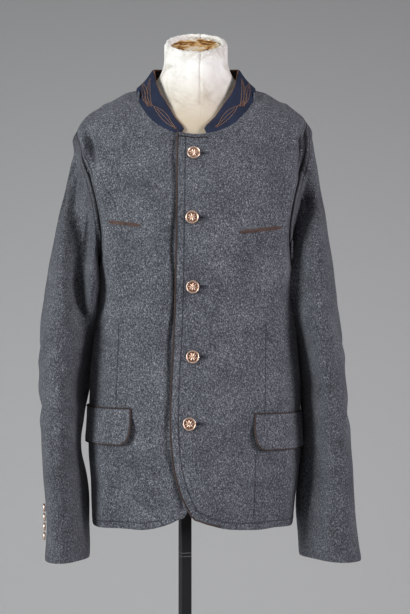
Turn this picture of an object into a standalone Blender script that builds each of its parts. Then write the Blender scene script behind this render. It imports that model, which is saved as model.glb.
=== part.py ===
"""A tyrolean loden jacket on a limbless dress form, on a post and a round foot.

The jacket is a wall of felted wool cut as two fronts, a back and two-piece sleeves. Its torso is a
stack of rounded sections that close over the shoulders, its sleeves leave the armholes along the
torso's own surface and turn down into tubes. Heights are above the floor, X runs to the wearer's
left from the middle of the neck, and Y to the wearer's back. All sizes are in millimetres until
millimetres() turns them to metres.
"""
import math
from collections import namedtuple

import bmesh
import bpy
from mathutils import Matrix, Vector

MM = 0.001

# ---- driving dimensions -------------------------------------------------------------------------
NECK_X = -5.5              # middle of the neck, from the middle of the whole object
LODEN = 2.3                # thickness of the felted cloth
SEAM = 0.3                 # clear space between two pieces that are sewn together
HEM_Z = 717.0              # height of the jacket's hem
UNDERARM_Z = 1125.0        # height of the armholes' lowest points
HPS_X, HPS_Z = 95.0, 1421.0    # where neckline and shoulder seam meet
NECK_DROP = 84.0           # front neckline below that point
BACK_NECK_Z = 1418.0       # height of the neckline's middle at the back
LEFT_COLLAR_END = 21.0     # X at which the collar stops on the left front
RIGHT_COLLAR_END = -27.0   # and on the right front
OVERLAP_DEPTH = 3.0        # how far the right front dips to lie under the left one

NECK_STEPS, SHOULDER_STEPS, ARMHOLE_STEPS, BODY_ROWS = 5, 3, 7, 18
PLACKET_STEPS = 2          # columns between the front edge and the collar's end
COLUMN_FAN = 0.6           # how much wider a panel's columns stand towards the side seam
SLEEVE_SPLIT = 2           # sleeve columns for each armhole column
CAP_ROWS, TUBE_ROWS = 6, 10
FRONT_SEAM, BACK_SEAM = 6, 22  # sleeve columns at which the top and under sleeve are joined

# Torso, outside of the cloth: reach to the wearer's right and left, to the front and to the back,
# and the power of the rounded section (2 is an ellipse, more is squarer).
Section = namedtuple("Section", "z right left front back power")
TORSO = (
    Section(700.0, 166.0, 154.0, 112.0, 118.0, 2.25),
    Section(760.0, 169.0, 161.0, 115.0, 120.0, 2.25),
    Section(850.0, 174.0, 169.0, 117.0, 117.0, 2.25),
    Section(947.0, 172.0, 169.0, 113.0, 106.0, 2.2),
    Section(1012.0, 166.0, 165.0, 110.0, 102.0, 2.2),
    Section(1077.0, 160.0, 160.0, 111.0, 107.0, 2.2),
    Section(1125.0, 158.0, 158.0, 114.0, 113.0, 2.2),
    Section(1180.0, 168.0, 167.0, 116.0, 118.0, 2.2),
    Section(1220.0, 179.0, 177.0, 114.0, 120.0, 2.2),
    Section(1260.0, 189.0, 186.0, 108.0, 119.0, 2.2),
    Section(1300.0, 196.0, 192.0, 98.0, 114.0, 2.2),
    Section(1337.0, 197.0, 191.0, 84.0, 104.0, 2.2),
    Section(1360.0, 190.0, 183.0, 72.0, 95.0, 2.15),
    Section(1381.0, 169.0, 166.0, 57.0, 85.0, 2.1),
    Section(1397.0, 140.5, 140.0, 43.0, 77.0, 2.05),
    Section(1410.0, 116.0, 116.0, 32.0, 74.0, 2.0),
    Section(1421.0, 95.0, 95.0, 23.0, 69.0, 2.0),
    Section(1432.0, 73.0, 73.0, 16.0, 62.0, 2.0),
)

# Armhole seams, from the shoulder seam down to the underarm.
SeamPoint = namedtuple("SeamPoint", "x z")
ARMHOLE_FRONT_LEFT = (
    SeamPoint(177.5, 1367.0), SeamPoint(176.0, 1330.0), SeamPoint(171.0, 1292.0),
    SeamPoint(161.0, 1255.0), SeamPoint(152.5, 1215.0), SeamPoint(149.0, 1178.0),
    SeamPoint(150.5, 1146.0), SeamPoint(158.0, 1125.0),
)
ARMHOLE_BACK_LEFT = (
    SeamPoint(177.5, 1367.0), SeamPoint(177.0, 1333.0), SeamPoint(173.5, 1296.0),
    SeamPoint(168.0, 1258.0), SeamPoint(162.5, 1218.0), SeamPoint(158.0, 1180.0),
    SeamPoint(155.5, 1148.0), SeamPoint(158.0, 1125.0),
)
ARMHOLE_FRONT_RIGHT = (
    SeamPoint(193.5, 1352.0), SeamPoint(186.0, 1322.0), SeamPoint(175.0, 1288.0),
    SeamPoint(164.0, 1254.0), SeamPoint(155.5, 1216.0), SeamPoint(151.0, 1179.0),
    SeamPoint(151.5, 1147.0), SeamPoint(158.0, 1125.0),
)
ARMHOLE_BACK_RIGHT = (
    SeamPoint(193.5, 1352.0), SeamPoint(189.0, 1323.0), SeamPoint(181.0, 1290.0),
    SeamPoint(172.5, 1255.0), SeamPoint(165.0, 1217.0), SeamPoint(159.5, 1180.0),
    SeamPoint(156.5, 1148.0), SeamPoint(158.0, 1125.0),
)
ARMHOLES = {(1, False): ARMHOLE_FRONT_LEFT, (1, True): ARMHOLE_BACK_LEFT,
            (-1, False): ARMHOLE_FRONT_RIGHT, (-1, True): ARMHOLE_BACK_RIGHT}

# Front edges from the collar down to the hem, where each runs into its rounded corner.
EdgePoint = namedtuple("EdgePoint", "z x")
LEFT_FRONT_EDGE = (
    EdgePoint(741.0, -5.0), EdgePoint(758.0, -15.0), EdgePoint(790.0, -26.0),
    EdgePoint(830.0, -34.5), EdgePoint(880.0, -37.5), EdgePoint(940.0, -36.5),
    EdgePoint(1000.0, -33.0), EdgePoint(1080.0, -30.0), EdgePoint(1200.0, -28.0),
    EdgePoint(1337.0, -26.6),
)
RIGHT_FRONT_EDGE = (
    EdgePoint(741.0, -15.0), EdgePoint(760.0, -4.0), EdgePoint(800.0, 7.0),
    EdgePoint(860.0, 12.0), EdgePoint(1000.0, 14.0), EdgePoint(1200.0, 16.0),
    EdgePoint(1337.0, 16.0),
)

# Sleeve tubes below the underarm: middle and half width across, middle and half depth fore and
# aft, and the turn of the section about the vertical, front edge towards the body.
Tube = namedtuple("Tube", "z middle half_width fore half_depth turn")
SLEEVE_LEFT = (
    Tube(1090.0, 185.0, 41.0, -34.0, 70.0, 16.0), Tube(1050.0, 191.0, 39.0, -35.0, 69.0, 13.0),
    Tube(1000.0, 202.0, 35.0, -36.0, 68.0, 7.0), Tube(940.0, 206.5, 34.0, -39.0, 65.0, 3.0),
    Tube(880.0, 211.0, 34.0, -43.0, 61.0, 2.0), Tube(825.0, 210.5, 38.0, -47.0, 56.0, 0.0),
    Tube(755.0, 207.5, 44.5, -52.0, 48.0, 0.0), Tube(665.0, 215.0, 47.0, -58.0, 43.0, 0.0),
)
SLEEVE_RIGHT = (
    Tube(1090.0, 199.0, 44.0, -32.0, 70.0, 14.0), Tube(1050.0, 205.0, 43.0, -34.0, 69.0, 11.0),
    Tube(1000.0, 212.5, 38.5, -36.0, 68.0, 6.0), Tube(940.0, 215.0, 35.5, -39.0, 65.0, 3.0),
    Tube(880.0, 217.0, 30.0, -43.0, 63.0, 1.0), Tube(835.0, 217.0, 28.0, -46.0, 61.0, 0.0),
    Tube(785.0, 209.5, 32.0, -50.0, 57.0, 0.0), Tube(725.0, 204.5, 32.5, -54.0, 54.0, 0.0),
    Tube(665.0, 205.0, 35.0, -57.0, 52.0, 0.0),
)

# Large folds of the sleeves: where round the tube (0 lateral, 90 front, 180 beside the body),
# between which heights, how deep and how wide.
Fold = namedtuple("Fold", "angle top bottom depth width")
FOLDS_LEFT = (
    Fold(128.0, 1350.0, 1120.0, 7.0, 22.0), Fold(60.0, 1010.0, 880.0, 4.0, 22.0),
    Fold(250.0, 1300.0, 1060.0, 8.0, 20.0),
)
FOLDS_RIGHT = (
    Fold(92.0, 1345.0, 1020.0, 17.0, 19.0), Fold(50.0, 1010.0, 880.0, 4.0, 20.0),
    Fold(262.0, 1300.0, 1060.0, 8.0, 20.0),
)

# Dress form: a rounded section for chest and shoulders and, from its collar bones up, the radius
# of the neck that stands in it.
FormSection = namedtuple("FormSection", "z half_width front back power neck")
FORM = (
    FormSection(800.0, 140.0, 98.0, 98.0, 2.1, 0.0),
    FormSection(850.0, 150.0, 103.0, 103.0, 2.1, 0.0),
    FormSection(950.0, 142.0, 98.0, 93.0, 2.1, 0.0),
    FormSection(1020.0, 138.0, 96.0, 90.0, 2.1, 0.0),
    FormSection(1125.0, 145.0, 102.0, 102.0, 2.1, 0.0),
    FormSection(1200.0, 148.0, 104.0, 109.0, 2.1, 0.0),
    FormSection(1270.0, 153.0, 94.0, 107.0, 2.0, 20.0),
    FormSection(1320.0, 156.0, 79.0, 99.0, 2.0, 45.0),
    FormSection(1350.0, 156.0, 64.0, 88.0, 1.9, 60.0),
    FormSection(1374.0, 154.0, 50.0, 76.0, 1.8, 61.0),
    FormSection(1386.2, 149.0, 42.0, 70.0, 1.75, 60.0),
    FormSection(1393.5, 139.0, 37.0, 66.0, 1.7, 59.0),
    FormSection(1405.3, 118.0, 27.0, 60.0, 1.7, 58.0),
    FormSection(1411.5, 97.0, 22.0, 56.0, 1.7, 57.5),
    FormSection(1419.0, 79.0, 18.0, 53.0, 1.8, 57.0),
    FormSection(1428.0, 64.0, 15.0, 50.0, 2.0, 56.5),
    FormSection(1440.0, 50.0, 12.0, 45.0, 2.0, 55.5),
)
NECK_TILT = math.radians(27.0)     # the neck's top slants down to the front
NECK_TOP_Z = 1491.0                # its middle
NECK_RADIUS, RIM_RADIUS, RIM_WIDTH = 50.0, 41.0, 9.0
RIM_DROP = 9.0                     # depth of the hollow inside the rim
FORM_SIDES = 32
SOCKET_TOP, SOCKET_RADIUS = 860.0, 13.2
FORM_BOTTOM_ROUND = 9.0
NECK_BLEND = 7.0                   # how sharply neck and shoulders meet; more is sharper

POST_X, POST_SIDE, POST_TURN = -17.8, 17.5, math.radians(18.0)
BASE_RADIUS, BASE_HEIGHT = 170.0, 10.0

BUTTON_HEIGHTS = (1305.0, 1204.0, 1096.5, 987.5, 883.5)
BUTTON_XS = (-2.9, -5.4, -4.5, -4.6, -9.4)
BUTTON_RADIUS, BUTTON_HEIGHT = 10.4, 4.6
CUFF_BUTTON_RADIUS, CUFF_BUTTON_HEIGHT = 6.8, 3.8
BUTTON_SEAT = 0.6                  # a button's back above the middle of the cloth it lies on
CUFF_BUTTON_HEIGHTS = (748.0, 733.0, 718.0, 703.0)

CUFF_BUTTON_COLUMN_LEFT, CUFF_BUTTON_COLUMN_RIGHT = 23, 1
EDGE_CORD_COLUMNS = 5

COLLAR_HEIGHT, COLLAR_END_HEIGHT = 35.0, 9.0
COLLAR_THICKNESS, COLLAR_INSIDE_THICKNESS = 1.8, 1.2
COLLAR_ROWS, COLLAR_FULL_AT = 3, 2.5
COLLAR_LEAN_SIDE, COLLAR_LEAN_BACK = 43.0, 9.0    # in degrees from upright, inwards
CORD_RADIUS = 1.4                  # the brown piping

CORNER_RUN = 72.0                  # how far a front's rounded corner runs along the hem
CAP_LEAVE_TOP, CAP_LEAVE_UNDER = 80.0, 28.0    # how strongly a sleeve leaves its armhole
CAP_OUT = 0.8                      # and how far it then leans sideways at the underarm
CAP_ARRIVE, CAP_ARRIVE_SHARE = 20.0, 0.9       # how strongly it runs into the straight sleeve
FOLD_FADE = 90.0                   # length over which a fold dies away
FOLD_CLEAR = 55.0                  # and its distance from the armhole seam
SIDE_GAP, UNDERARM_GAP = 1.6, 4.4  # clear space between sleeve and torso
FLAP_GAP = 6.5                     # and more of it where a pocket flap lies between them

FLAP_LENGTH, FLAP_HEIGHT, FLAP_THICKNESS = 143.0, 53.0, 2.6
FLAP_LEFT_X, FLAP_LEFT_Z = 94.0, 897.0
FLAP_RIGHT_X, FLAP_RIGHT_Z = -103.0, 905.0
FLAP_COLUMNS, FLAP_ROWS = 10, 4
FLAP_MIDDLE = 16.0                 # a flap's border is upright this far above and below its middle
FLAP_ROUND, FLAP_CORNER = 15.0, 5.5    # length and depth of a flap's rounded lower corners
FLAP_FLARE_FRONT, FLAP_FLARE_SIDE = 1.2, 2.4
WELT_THICKNESS, WELT_CROWN = 1.0, 0.5
WELT_HALF, WELT_TIP, WELT_COLUMNS = 2.7, 1.3, 12
WELT_BLUNT = 0.1                   # share of a welt's length over which each end narrows
WELT_LEFT = ((68.5, 1181.0), (134.0, 1190.0))
WELT_RIGHT = ((-87.0, 1192.0), (-136.5, 1199.0))

FORM_HEIGHTS = (809.0, 850.0, 905.0, 960.0, 1020.0, 1080.0, 1140.0, 1200.0, 1255.0, 1305.0,
                1340.0, 1362.0, 1378.0, 1389.0, 1398.0, 1407.0, 1416.0, 1425.0, 1438.0)


# ---- small tools --------------------------------------------------------------------------------
def clear_scene():
    for old in list(bpy.data.objects):
        bpy.data.objects.remove(old, do_unlink=True)


def table_value(rows, column, key, at):
    """A smooth value of a table's column where its key column reads at."""
    ordered = sorted(rows, key=lambda row: getattr(row, key))
    keys = [getattr(row, key) for row in ordered]
    values = [getattr(row, column) for row in ordered]
    if at <= keys[0]:
        return values[0]
    if at >= keys[-1]:
        return values[-1]
    i = next(n for n in range(len(keys) - 1) if at <= keys[n + 1])
    slopes = [(values[n + 1] - values[n]) / (keys[n + 1] - keys[n]) for n in range(len(keys) - 1)]

    def tangent(n):
        if n == 0 or n == len(keys) - 1:
            return slopes[min(n, len(slopes) - 1)]
        before, after = slopes[n - 1], slopes[n]
        if before * after <= 0.0:
            return 0.0
        return 2.0 * before * after / (before + after)

    width = keys[i + 1] - keys[i]
    t = (at - keys[i]) / width
    return (values[i] * (1 + 2 * t) * (1 - t) ** 2 + values[i + 1] * t * t * (3 - 2 * t)
            + tangent(i) * width * t * (1 - t) ** 2 - tangent(i + 1) * width * t * t * (1 - t))


def smooth_step(low, high, value):
    """0 at low and before it, 1 at high and past it; low may be the greater one."""
    t = min(1.0, max(0.0, (value - low) / (high - low)))
    return t * t * (3.0 - 2.0 * t)


def unit(vector):
    return vector.normalized()


def millimetres(point):
    return Vector(point) * MM


def make_material(name, colour, roughness, metallic=0.0):
    material = bpy.data.materials.new(name)
    material.use_nodes = True
    shader = material.node_tree.nodes["Principled BSDF"]
    shader.inputs["Base Color"].default_value = (*colour, 1.0)
    shader.inputs["Roughness"].default_value = roughness
    shader.inputs["Metallic"].default_value = metallic
    return material


def add_object(name, data, material, collection, parent):
    thing = bpy.data.objects.new(name, data)
    collection.objects.link(thing)
    thing.parent = parent
    data.materials.append(material)
    return thing


def face_outwards(mesh):
    """Gives a closed mesh faces that agree and point out of it."""
    bmesh.ops.recalc_face_normals(mesh, faces=mesh.faces)
    if mesh.calc_volume(signed=True) < 0.0:
        bmesh.ops.reverse_faces(mesh, faces=mesh.faces)


def wall(outer, inner):
    """A closed wall from two grids of points, the seen face and the one behind it."""
    across, up = len(outer) - 1, len(outer[0]) - 1
    mesh = bmesh.new()
    place = mesh.verts.layers.int.new("place")
    bmesh.ops.create_grid(mesh, x_segments=across, y_segments=up, size=1.0)
    for vertex in mesh.verts:
        column = round((vertex.co.x + 1.0) / 2.0 * across)
        row = round((vertex.co.y + 1.0) / 2.0 * up)
        vertex[place] = column * (up + 1) + row
    grown = bmesh.ops.extrude_face_region(mesh, geom=list(mesh.faces))["geom"]
    behind = {item for item in grown if isinstance(item, bmesh.types.BMVert)}
    for vertex in mesh.verts:
        column, row = divmod(vertex[place], up + 1)
        vertex.co = millimetres((inner if vertex in behind else outer)[column][row])
    bmesh.ops.triangulate(mesh, faces=mesh.faces, quad_method="SHORT_EDGE")
    face_outwards(mesh)
    data = bpy.data.meshes.new("wall")
    mesh.to_mesh(data)
    mesh.free()
    data.shade_smooth()
    data.set_sharp_from_angle(angle=math.radians(50.0))
    return data


def grid_normals(points, outward):
    """The normal at each point of a grid, turned to the side that outward(point) names."""
    columns, rows = len(points), len(points[0])
    normals = []
    for i in range(columns):
        line = []
        for j in range(rows):
            across = points[min(i + 1, columns - 1)][j] - points[max(i - 1, 0)][j]
            along = points[i][min(j + 1, rows - 1)] - points[i][max(j - 1, 0)]
            normal = unit(across.cross(along))
            if normal.dot(outward(points[i][j])) < 0.0:
                normal = -normal
            line.append(normal)
        normals.append(line)
    return normals


def offset(points, normals, distance):
    return [[p + n * distance for p, n in zip(line, ns)] for line, ns in zip(points, normals)]


def resample(line, fractions):
    """Points at the given fractions of a line's length."""
    lengths = [0.0]
    for a, b in zip(line, line[1:]):
        lengths.append(lengths[-1] + (b - a).length)
    points = []
    for fraction in fractions:
        target = fraction * lengths[-1]
        i = next((n for n in range(len(line) - 1) if target <= lengths[n + 1]), len(line) - 2)
        share = (target - lengths[i]) / max(1e-9, lengths[i + 1] - lengths[i])
        points.append(line[i].lerp(line[i + 1], share))
    return points


# ---- the torso's surface ------------------------------------------------------------------------
def reach(z, side, back):
    """Half width and depth of the torso at a height, on one side and towards front or back."""
    width = table_value(TORSO, "left" if side > 0 else "right", "z", z)
    depth = table_value(TORSO, "back" if back else "front", "z", z)
    return width, depth, table_value(TORSO, "power", "z", z)


def torso_at_angle(angle, z):
    """The torso's outside at an angle from straight ahead, positive to the wearer's left."""
    width, depth, power = reach(z, math.sin(angle), math.cos(angle) < 0.0)
    radius = (abs(math.sin(angle) / width) ** power + abs(math.cos(angle) / depth) ** power)
    radius **= -1.0 / power
    return Vector((radius * math.sin(angle), -radius * math.cos(angle), z))


def torso_at_x(x, z, back=False):
    """The torso's outside straight in front of or behind a place on the width."""
    width, depth, power = reach(z, x, back)
    share = min(1.0, abs(x) / width)
    y = depth * (1.0 - share ** power) ** (1.0 / power)
    return Vector((math.copysign(min(abs(x), width), x), y if back else -y, z))


def angle_of(point):
    return math.atan2(point.x, -point.y)


def torso_normal(point):
    angle, z, step = angle_of(point), point.z, 0.01
    around = torso_at_angle(angle + step, z) - torso_at_angle(angle - step, z)
    upward = torso_at_angle(angle, z + 1.0) - torso_at_angle(angle, z - 1.0)
    return unit(around.cross(upward))


def torso_side(y, z, side):
    """How far out the torso reaches beside a place fore or aft."""
    width, depth, power = reach(z, side, y > 0.0)
    share = abs(y) / depth
    return width * (1.0 - share ** power) ** (1.0 / power) if share < 1.0 else 0.0


# ---- the cut: top borders of the panels ---------------------------------------------------------
def neckline_front(x):
    """The neckline in front is a quarter of an ellipse from the shoulder seam to the middle."""
    share = min(1.0, abs(x) / HPS_X)
    z = HPS_Z - NECK_DROP * math.sqrt(1.0 - share * share)
    return torso_at_x(x, z)


def neck_columns(start, side):
    """Places along a front neckline, from a collar end to the shoulder seam."""
    first = math.asin(min(1.0, abs(start) / HPS_X))
    turns = [first + (math.pi / 2 - first) * n / NECK_STEPS for n in range(NECK_STEPS + 1)]
    return [neckline_front(side * HPS_X * math.sin(turn)) for turn in turns]


def back_neck_columns(side):
    turns = [math.pi / 2 * (2 - n / NECK_STEPS) for n in range(NECK_STEPS + 1)]
    points = []
    for turn in turns:
        rise = HPS_Z - BACK_NECK_Z
        z = BACK_NECK_Z + rise * abs(math.sin(turn)) ** 2
        points.append(torso_at_angle(side * turn, z))
    return points


def shoulder_columns(tip, side):
    """Places along the shoulder seam, on the ridge of the torso."""
    points = []
    for n in range(SHOULDER_STEPS + 1):
        z = HPS_Z + (tip.z - HPS_Z) * n / SHOULDER_STEPS
        width = reach(z, side, False)[0]
        points.append(Vector((side * width, 0.0, z)))
    return points


def armhole_columns(rows, side, back):
    """Places down an armhole seam, evenly spaced, from the shoulder seam to the underarm."""
    steps = 12
    line = []
    for row, following in zip(rows, rows[1:]):
        for n in range(steps):
            z = row.z + (following.z - row.z) * n / steps
            line.append(torso_at_x(side * table_value(rows, "x", "z", z), z, back))
    line.append(Vector((side * reach(UNDERARM_Z, side, back)[0], 0.0, UNDERARM_Z)))
    line[0] = Vector((side * reach(rows[0].z, side, back)[0], 0.0, rows[0].z))
    return resample(line, [n / ARMHOLE_STEPS for n in range(ARMHOLE_STEPS + 1)])


# ---- the panels ---------------------------------------------------------------------------------
def dip(point, side):
    """How far the right front lies below the torso's outside, to pass under the left one."""
    if side > 0 or point.y > 0.0:
        return 0.0
    return OVERLAP_DEPTH * smooth_step(-85.0, -44.0, point.x)


def column_bend(i, neck_at, armhole_at, last):
    """How a column above the underarm swings out: early (-1) to the neck, late (1) to an armhole."""
    rise = -1.0 + 2.0 * (i - neck_at) / (armhole_at + 2 - neck_at)
    fall = (last - i) / (ARMHOLE_STEPS - 3)
    return max(-1.0, min(1.0, rise, fall))


def column_share(share):
    """Spaces a panel's columns wider towards the side seam, where they fan out to the armhole."""
    return share ** (1.0 + COLUMN_FAN * share)


def column_up(angles, foot_z, top, back, bend):
    """A panel's column: up the torso's side at angles(z) to the underarm's height, then to top."""
    steps = 40
    line = []
    for n in range(steps + 1):
        z = foot_z + (UNDERARM_Z - foot_z) * n / steps
        line.append(torso_at_angle(angles(z), z))
    start = line[-1]
    for n in range(1, steps + 1):
        share = n / steps
        x = start.x + (top.x - start.x) * (share + bend * (share * share - share))
        line.append(torso_at_x(x, start.z + (top.z - start.z) * share, back))
    line[-1] = top.copy()
    return resample(line, [n / BODY_ROWS for n in range(BODY_ROWS + 1)])


def side_column(side):
    """The side seam, from the hem to the underarm."""
    rows = []
    for n in range(BODY_ROWS + 1):
        z = HEM_Z + (UNDERARM_Z - HEM_Z) * n / BODY_ROWS
        rows.append(Vector((side * reach(z, side, False)[0], 0.0, z)))
    return rows


def part_seams(points, shoulder, armhole, side):
    """Draws a panel's borders back from the side and shoulder seams by half the clear space."""
    last = len(points) - 1
    for j, point in enumerate(points[last]):
        inward = unit(points[last - 1][j] - point)
        points[last][j] = point + inward * SEAM / 2
    for i in range(shoulder, armhole + 1):
        inward = unit(points[i][BODY_ROWS - 1] - points[i][BODY_ROWS])
        points[i][BODY_ROWS] = points[i][BODY_ROWS] + inward * SEAM / 2


def front_points(side):
    """The grid of a front panel's outside, from its front edge to the side seam."""
    edge = LEFT_FRONT_EDGE if side > 0 else RIGHT_FRONT_EDGE
    collar_end = LEFT_COLLAR_END if side > 0 else RIGHT_COLLAR_END
    armhole = ARMHOLES[side, False]
    edge_x = table_value(edge, "x", "z", HPS_Z - NECK_DROP)
    tops = [neckline_front(edge_x + (collar_end - edge_x) * n / PLACKET_STEPS)
            for n in range(PLACKET_STEPS)]
    tops += neck_columns(collar_end * side, side)
    shoulder_at = len(tops) - 1
    tip = Vector((0.0, 0.0, armhole[0].z))
    tops += shoulder_columns(tip, side)[1:]
    armhole_at = len(tops) - 1
    tops += armhole_columns(armhole, side, False)[1:]
    corner, last = edge[0], len(tops) - 1
    grid = []
    for i, top in enumerate(tops):
        share = i / last
        if i == 0:
            heights = [corner.z + (top.z - corner.z) * n / BODY_ROWS for n in range(BODY_ROWS + 1)]
            grid.append([torso_at_x(table_value(edge, "x", "z", z), z) for z in heights])
        elif i == last:
            grid.append(side_column(side))
        else:
            def angles(z, share=share):
                start = angle_of(torso_at_x(table_value(edge, "x", "z", z), z))
                return start + (side * math.pi / 2 - start) * column_share(share)

            run = abs(angles(HEM_Z) - angles(HEM_Z, 0.0)) * reach(HEM_Z, side, False)[1]
            foot_z = HEM_Z + (corner.z - HEM_Z) * max(0.0, 1.0 - run / CORNER_RUN) ** 2
            bend = column_bend(i, shoulder_at, armhole_at, last)
            grid.append(column_up(angles, foot_z, top, False, bend))
    for line in grid:
        for j, point in enumerate(line):
            line[j] = point - torso_normal(point) * dip(point, side)
    part_seams(grid, shoulder_at, armhole_at, side)
    return grid


def back_half(side):
    """Half of the back's outside, from the middle to the side seam."""
    armhole = ARMHOLES[side, True]
    tops = back_neck_columns(side)
    shoulder_at = len(tops) - 1
    tops += shoulder_columns(Vector((0.0, 0.0, armhole[0].z)), side)[1:]
    armhole_at = len(tops) - 1
    tops += armhole_columns(armhole, side, True)[1:]
    last = len(tops) - 1
    grid = []
    for i, top in enumerate(tops):
        if i == last:
            grid.append(side_column(side))
            continue
        angle = side * (math.pi - math.pi / 2 * column_share(i / last))
        bend = column_bend(i, shoulder_at, armhole_at, last)
        grid.append(column_up(lambda z, angle=angle: angle, HEM_Z, top, True, bend))
    part_seams(grid, shoulder_at, armhole_at, side)
    return grid


def torso_wall(grid):
    """A torso panel: its outside, and its inside one thickness of cloth further in."""
    inner = [[point - torso_normal(point) * LODEN for point in line] for line in grid]
    return wall(grid, inner)


# ---- sleeves ------------------------------------------------------------------------------------
def armhole_ring(side):
    """The armhole's outside: down the front from the shoulder seam, and up the back."""
    front = armhole_columns(ARMHOLES[side, False], side, False)
    back = armhole_columns(ARMHOLES[side, True], side, True)
    coarse = front + back[-2:0:-1]
    ring = []
    for n, point in enumerate(coarse):
        following = coarse[(n + 1) % len(coarse)]
        for k in range(SLEEVE_SPLIT):
            ring.append(point.lerp(following, k / SLEEVE_SPLIT))
    return ring


def leaving(ring, side):
    """The torso's normal at each armhole point, and the way on from the torso across the seam."""
    normals, ways = [], []
    for n, point in enumerate(ring):
        along = ring[(n + 1) % len(ring)] - ring[n - 1]
        normal = torso_normal(point)
        normals.append(normal)
        ways.append(unit(normal.cross(along)) * side)
    return normals, ways


def tube_point(rows, side, turn, z):
    """The sleeve's outside at a turn round the tube, kept clear of the torso beside it."""
    middle, half_width, fore, half_depth, twist = (
        table_value(rows, key, "z", z) for key in Tube._fields[1:])
    twist = math.radians(twist)
    lateral = half_width * math.cos(turn)
    forward = half_depth * math.sin(turn)
    slim = math.sqrt(max(1.0, half_width ** 2 - (half_depth * math.sin(twist)) ** 2))
    lateral *= slim / half_width / math.cos(twist)
    x = middle + lateral * math.cos(twist) - forward * math.sin(twist)
    y = fore - forward * math.cos(twist) - lateral * math.sin(twist)
    return Vector((side * x, y, z))


def pressed(point, folds, side, turn, start):
    """A sleeve point with the large folds pressed in, less so near its start at the armhole."""
    away = smooth_step(0.0, FOLD_CLEAR, (point - start).length)
    inward = Vector((-side * math.cos(turn), math.sin(turn), 0.0))
    for fold in folds:
        off = (math.degrees(turn) - fold.angle + 180.0) % 360.0 - 180.0
        window = (smooth_step(fold.bottom - 20.0, fold.bottom + FOLD_FADE, point.z)
                  * (1.0 - smooth_step(fold.top - FOLD_FADE, fold.top, point.z)))
        point = point + inward * fold.depth * math.exp(-(off / fold.width) ** 2) * window * away
    return point


def clear_of_torso(point, side):
    """Moves a sleeve point out sideways where it would touch the torso."""
    gap = SIDE_GAP + UNDERARM_GAP * smooth_step(1020.0, 1100.0, point.z)
    gap += FLAP_GAP * smooth_step(810.0, 840.0, point.z) * smooth_step(945.0, 915.0, point.z)
    if point.z > UNDERARM_Z:
        back = point.y > 0.0
        seam = ARMHOLES[side, back]
        edge = torso_at_x(side * table_value(seam, "x", "z", point.z), point.z, back)
        gap *= smooth_step(-3.0, 9.0, abs(point.y) - abs(edge.y))
        if abs(point.y) < abs(edge.y) - 3.0:
            return point
    beside = torso_side(point.y, point.z, side) + gap
    if side * point.x >= beside:
        return point
    return Vector((side * beside, point.y, point.z))


def sleeve_points(side):
    """Columns of the sleeve's outside all the way round, from the armhole to the cuff."""
    rows, folds = (SLEEVE_LEFT, FOLDS_LEFT) if side > 0 else (SLEEVE_RIGHT, FOLDS_RIGHT)
    ring = armhole_ring(side)
    normals, ways = leaving(ring, side)
    tube_top, cuff = rows[0].z, rows[-1].z
    columns = []
    for n, start in enumerate(ring):
        turn = 2.0 * math.pi * n / len(ring)
        begin = start + ways[n] * SEAM
        end = tube_point(rows, side, turn, tube_top)
        low = 0.5 - 0.5 * math.cos(turn)
        out = Vector((side * CAP_OUT * low, 0.0, 0.0))
        leave = unit(ways[n] + out) * (CAP_LEAVE_TOP + (CAP_LEAVE_UNDER - CAP_LEAVE_TOP) * low)
        arrive = unit(tube_point(rows, side, turn, tube_top - 10.0) - end)
        arrive *= CAP_ARRIVE + CAP_ARRIVE_SHARE * abs(start.z - tube_top)
        column = [begin]
        for k in range(1, CAP_ROWS + 1):
            t = k / CAP_ROWS
            point = (begin * (1 + 2 * t) * (1 - t) ** 2 + end * t * t * (3 - 2 * t)
                     + leave * t * (1 - t) ** 2 - arrive * t * t * (1 - t))
            column.append(point)
        for k in range(1, TUBE_ROWS + 1):
            z = tube_top + (cuff - tube_top) * k / TUBE_ROWS
            column.append(tube_point(rows, side, turn, z))
        shaped = [column[0]]
        for point in column[1:]:
            shaped.append(clear_of_torso(pressed(point, folds, side, turn, start), side))
        columns.append(shaped)
    return columns, normals


def sleeve_normals(columns, ring_normals, side):
    """Outward normals of the closed sleeve; at the armhole they are the torso's own."""
    count, rows = len(columns), len(columns[0])
    normals = []
    for n in range(count):
        before, after = columns[n - 1], columns[(n + 1) % count]
        line = [ring_normals[n]]
        for j in range(1, rows):
            along = columns[n][min(j + 1, rows - 1)] - columns[n][j - 1]
            line.append(unit((after[j] - before[j]).cross(along)) * side)
        normals.append(line)
    return normals


def sleeve_piece(columns, normals, first, last):
    """The wall between two seams of the sleeve."""
    count = len(columns)
    outer, inner = [], []
    for n in range(first, last + 1):
        here = columns[n % count]
        drawn = []
        for j, point in enumerate(here):
            around = unit(columns[(n + 1) % count][j] - columns[(n - 1) % count][j])
            if n == first:
                point = point + around * SEAM / 2
            if n == last:
                point = point - around * SEAM / 2
            drawn.append(point)
        outer.append(drawn)
        inner.append([p - m * LODEN for p, m in zip(drawn, normals[n % count])])
    return wall(outer, inner)


# ---- collar and piping --------------------------------------------------------------------------
def collar_base():
    """Places along the neckline from the collar's right end round the back to its left end."""
    right = neck_columns(-RIGHT_COLLAR_END, -1)
    left = neck_columns(LEFT_COLLAR_END, 1)
    back_right = back_neck_columns(-1)[::-1]
    back_left = back_neck_columns(1)
    line = right + back_right[1:] + back_left[1:] + left[::-1][1:]
    return [point - torso_normal(point) * dip(point, math.copysign(1.0, point.x))
            for point in line]


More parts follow.
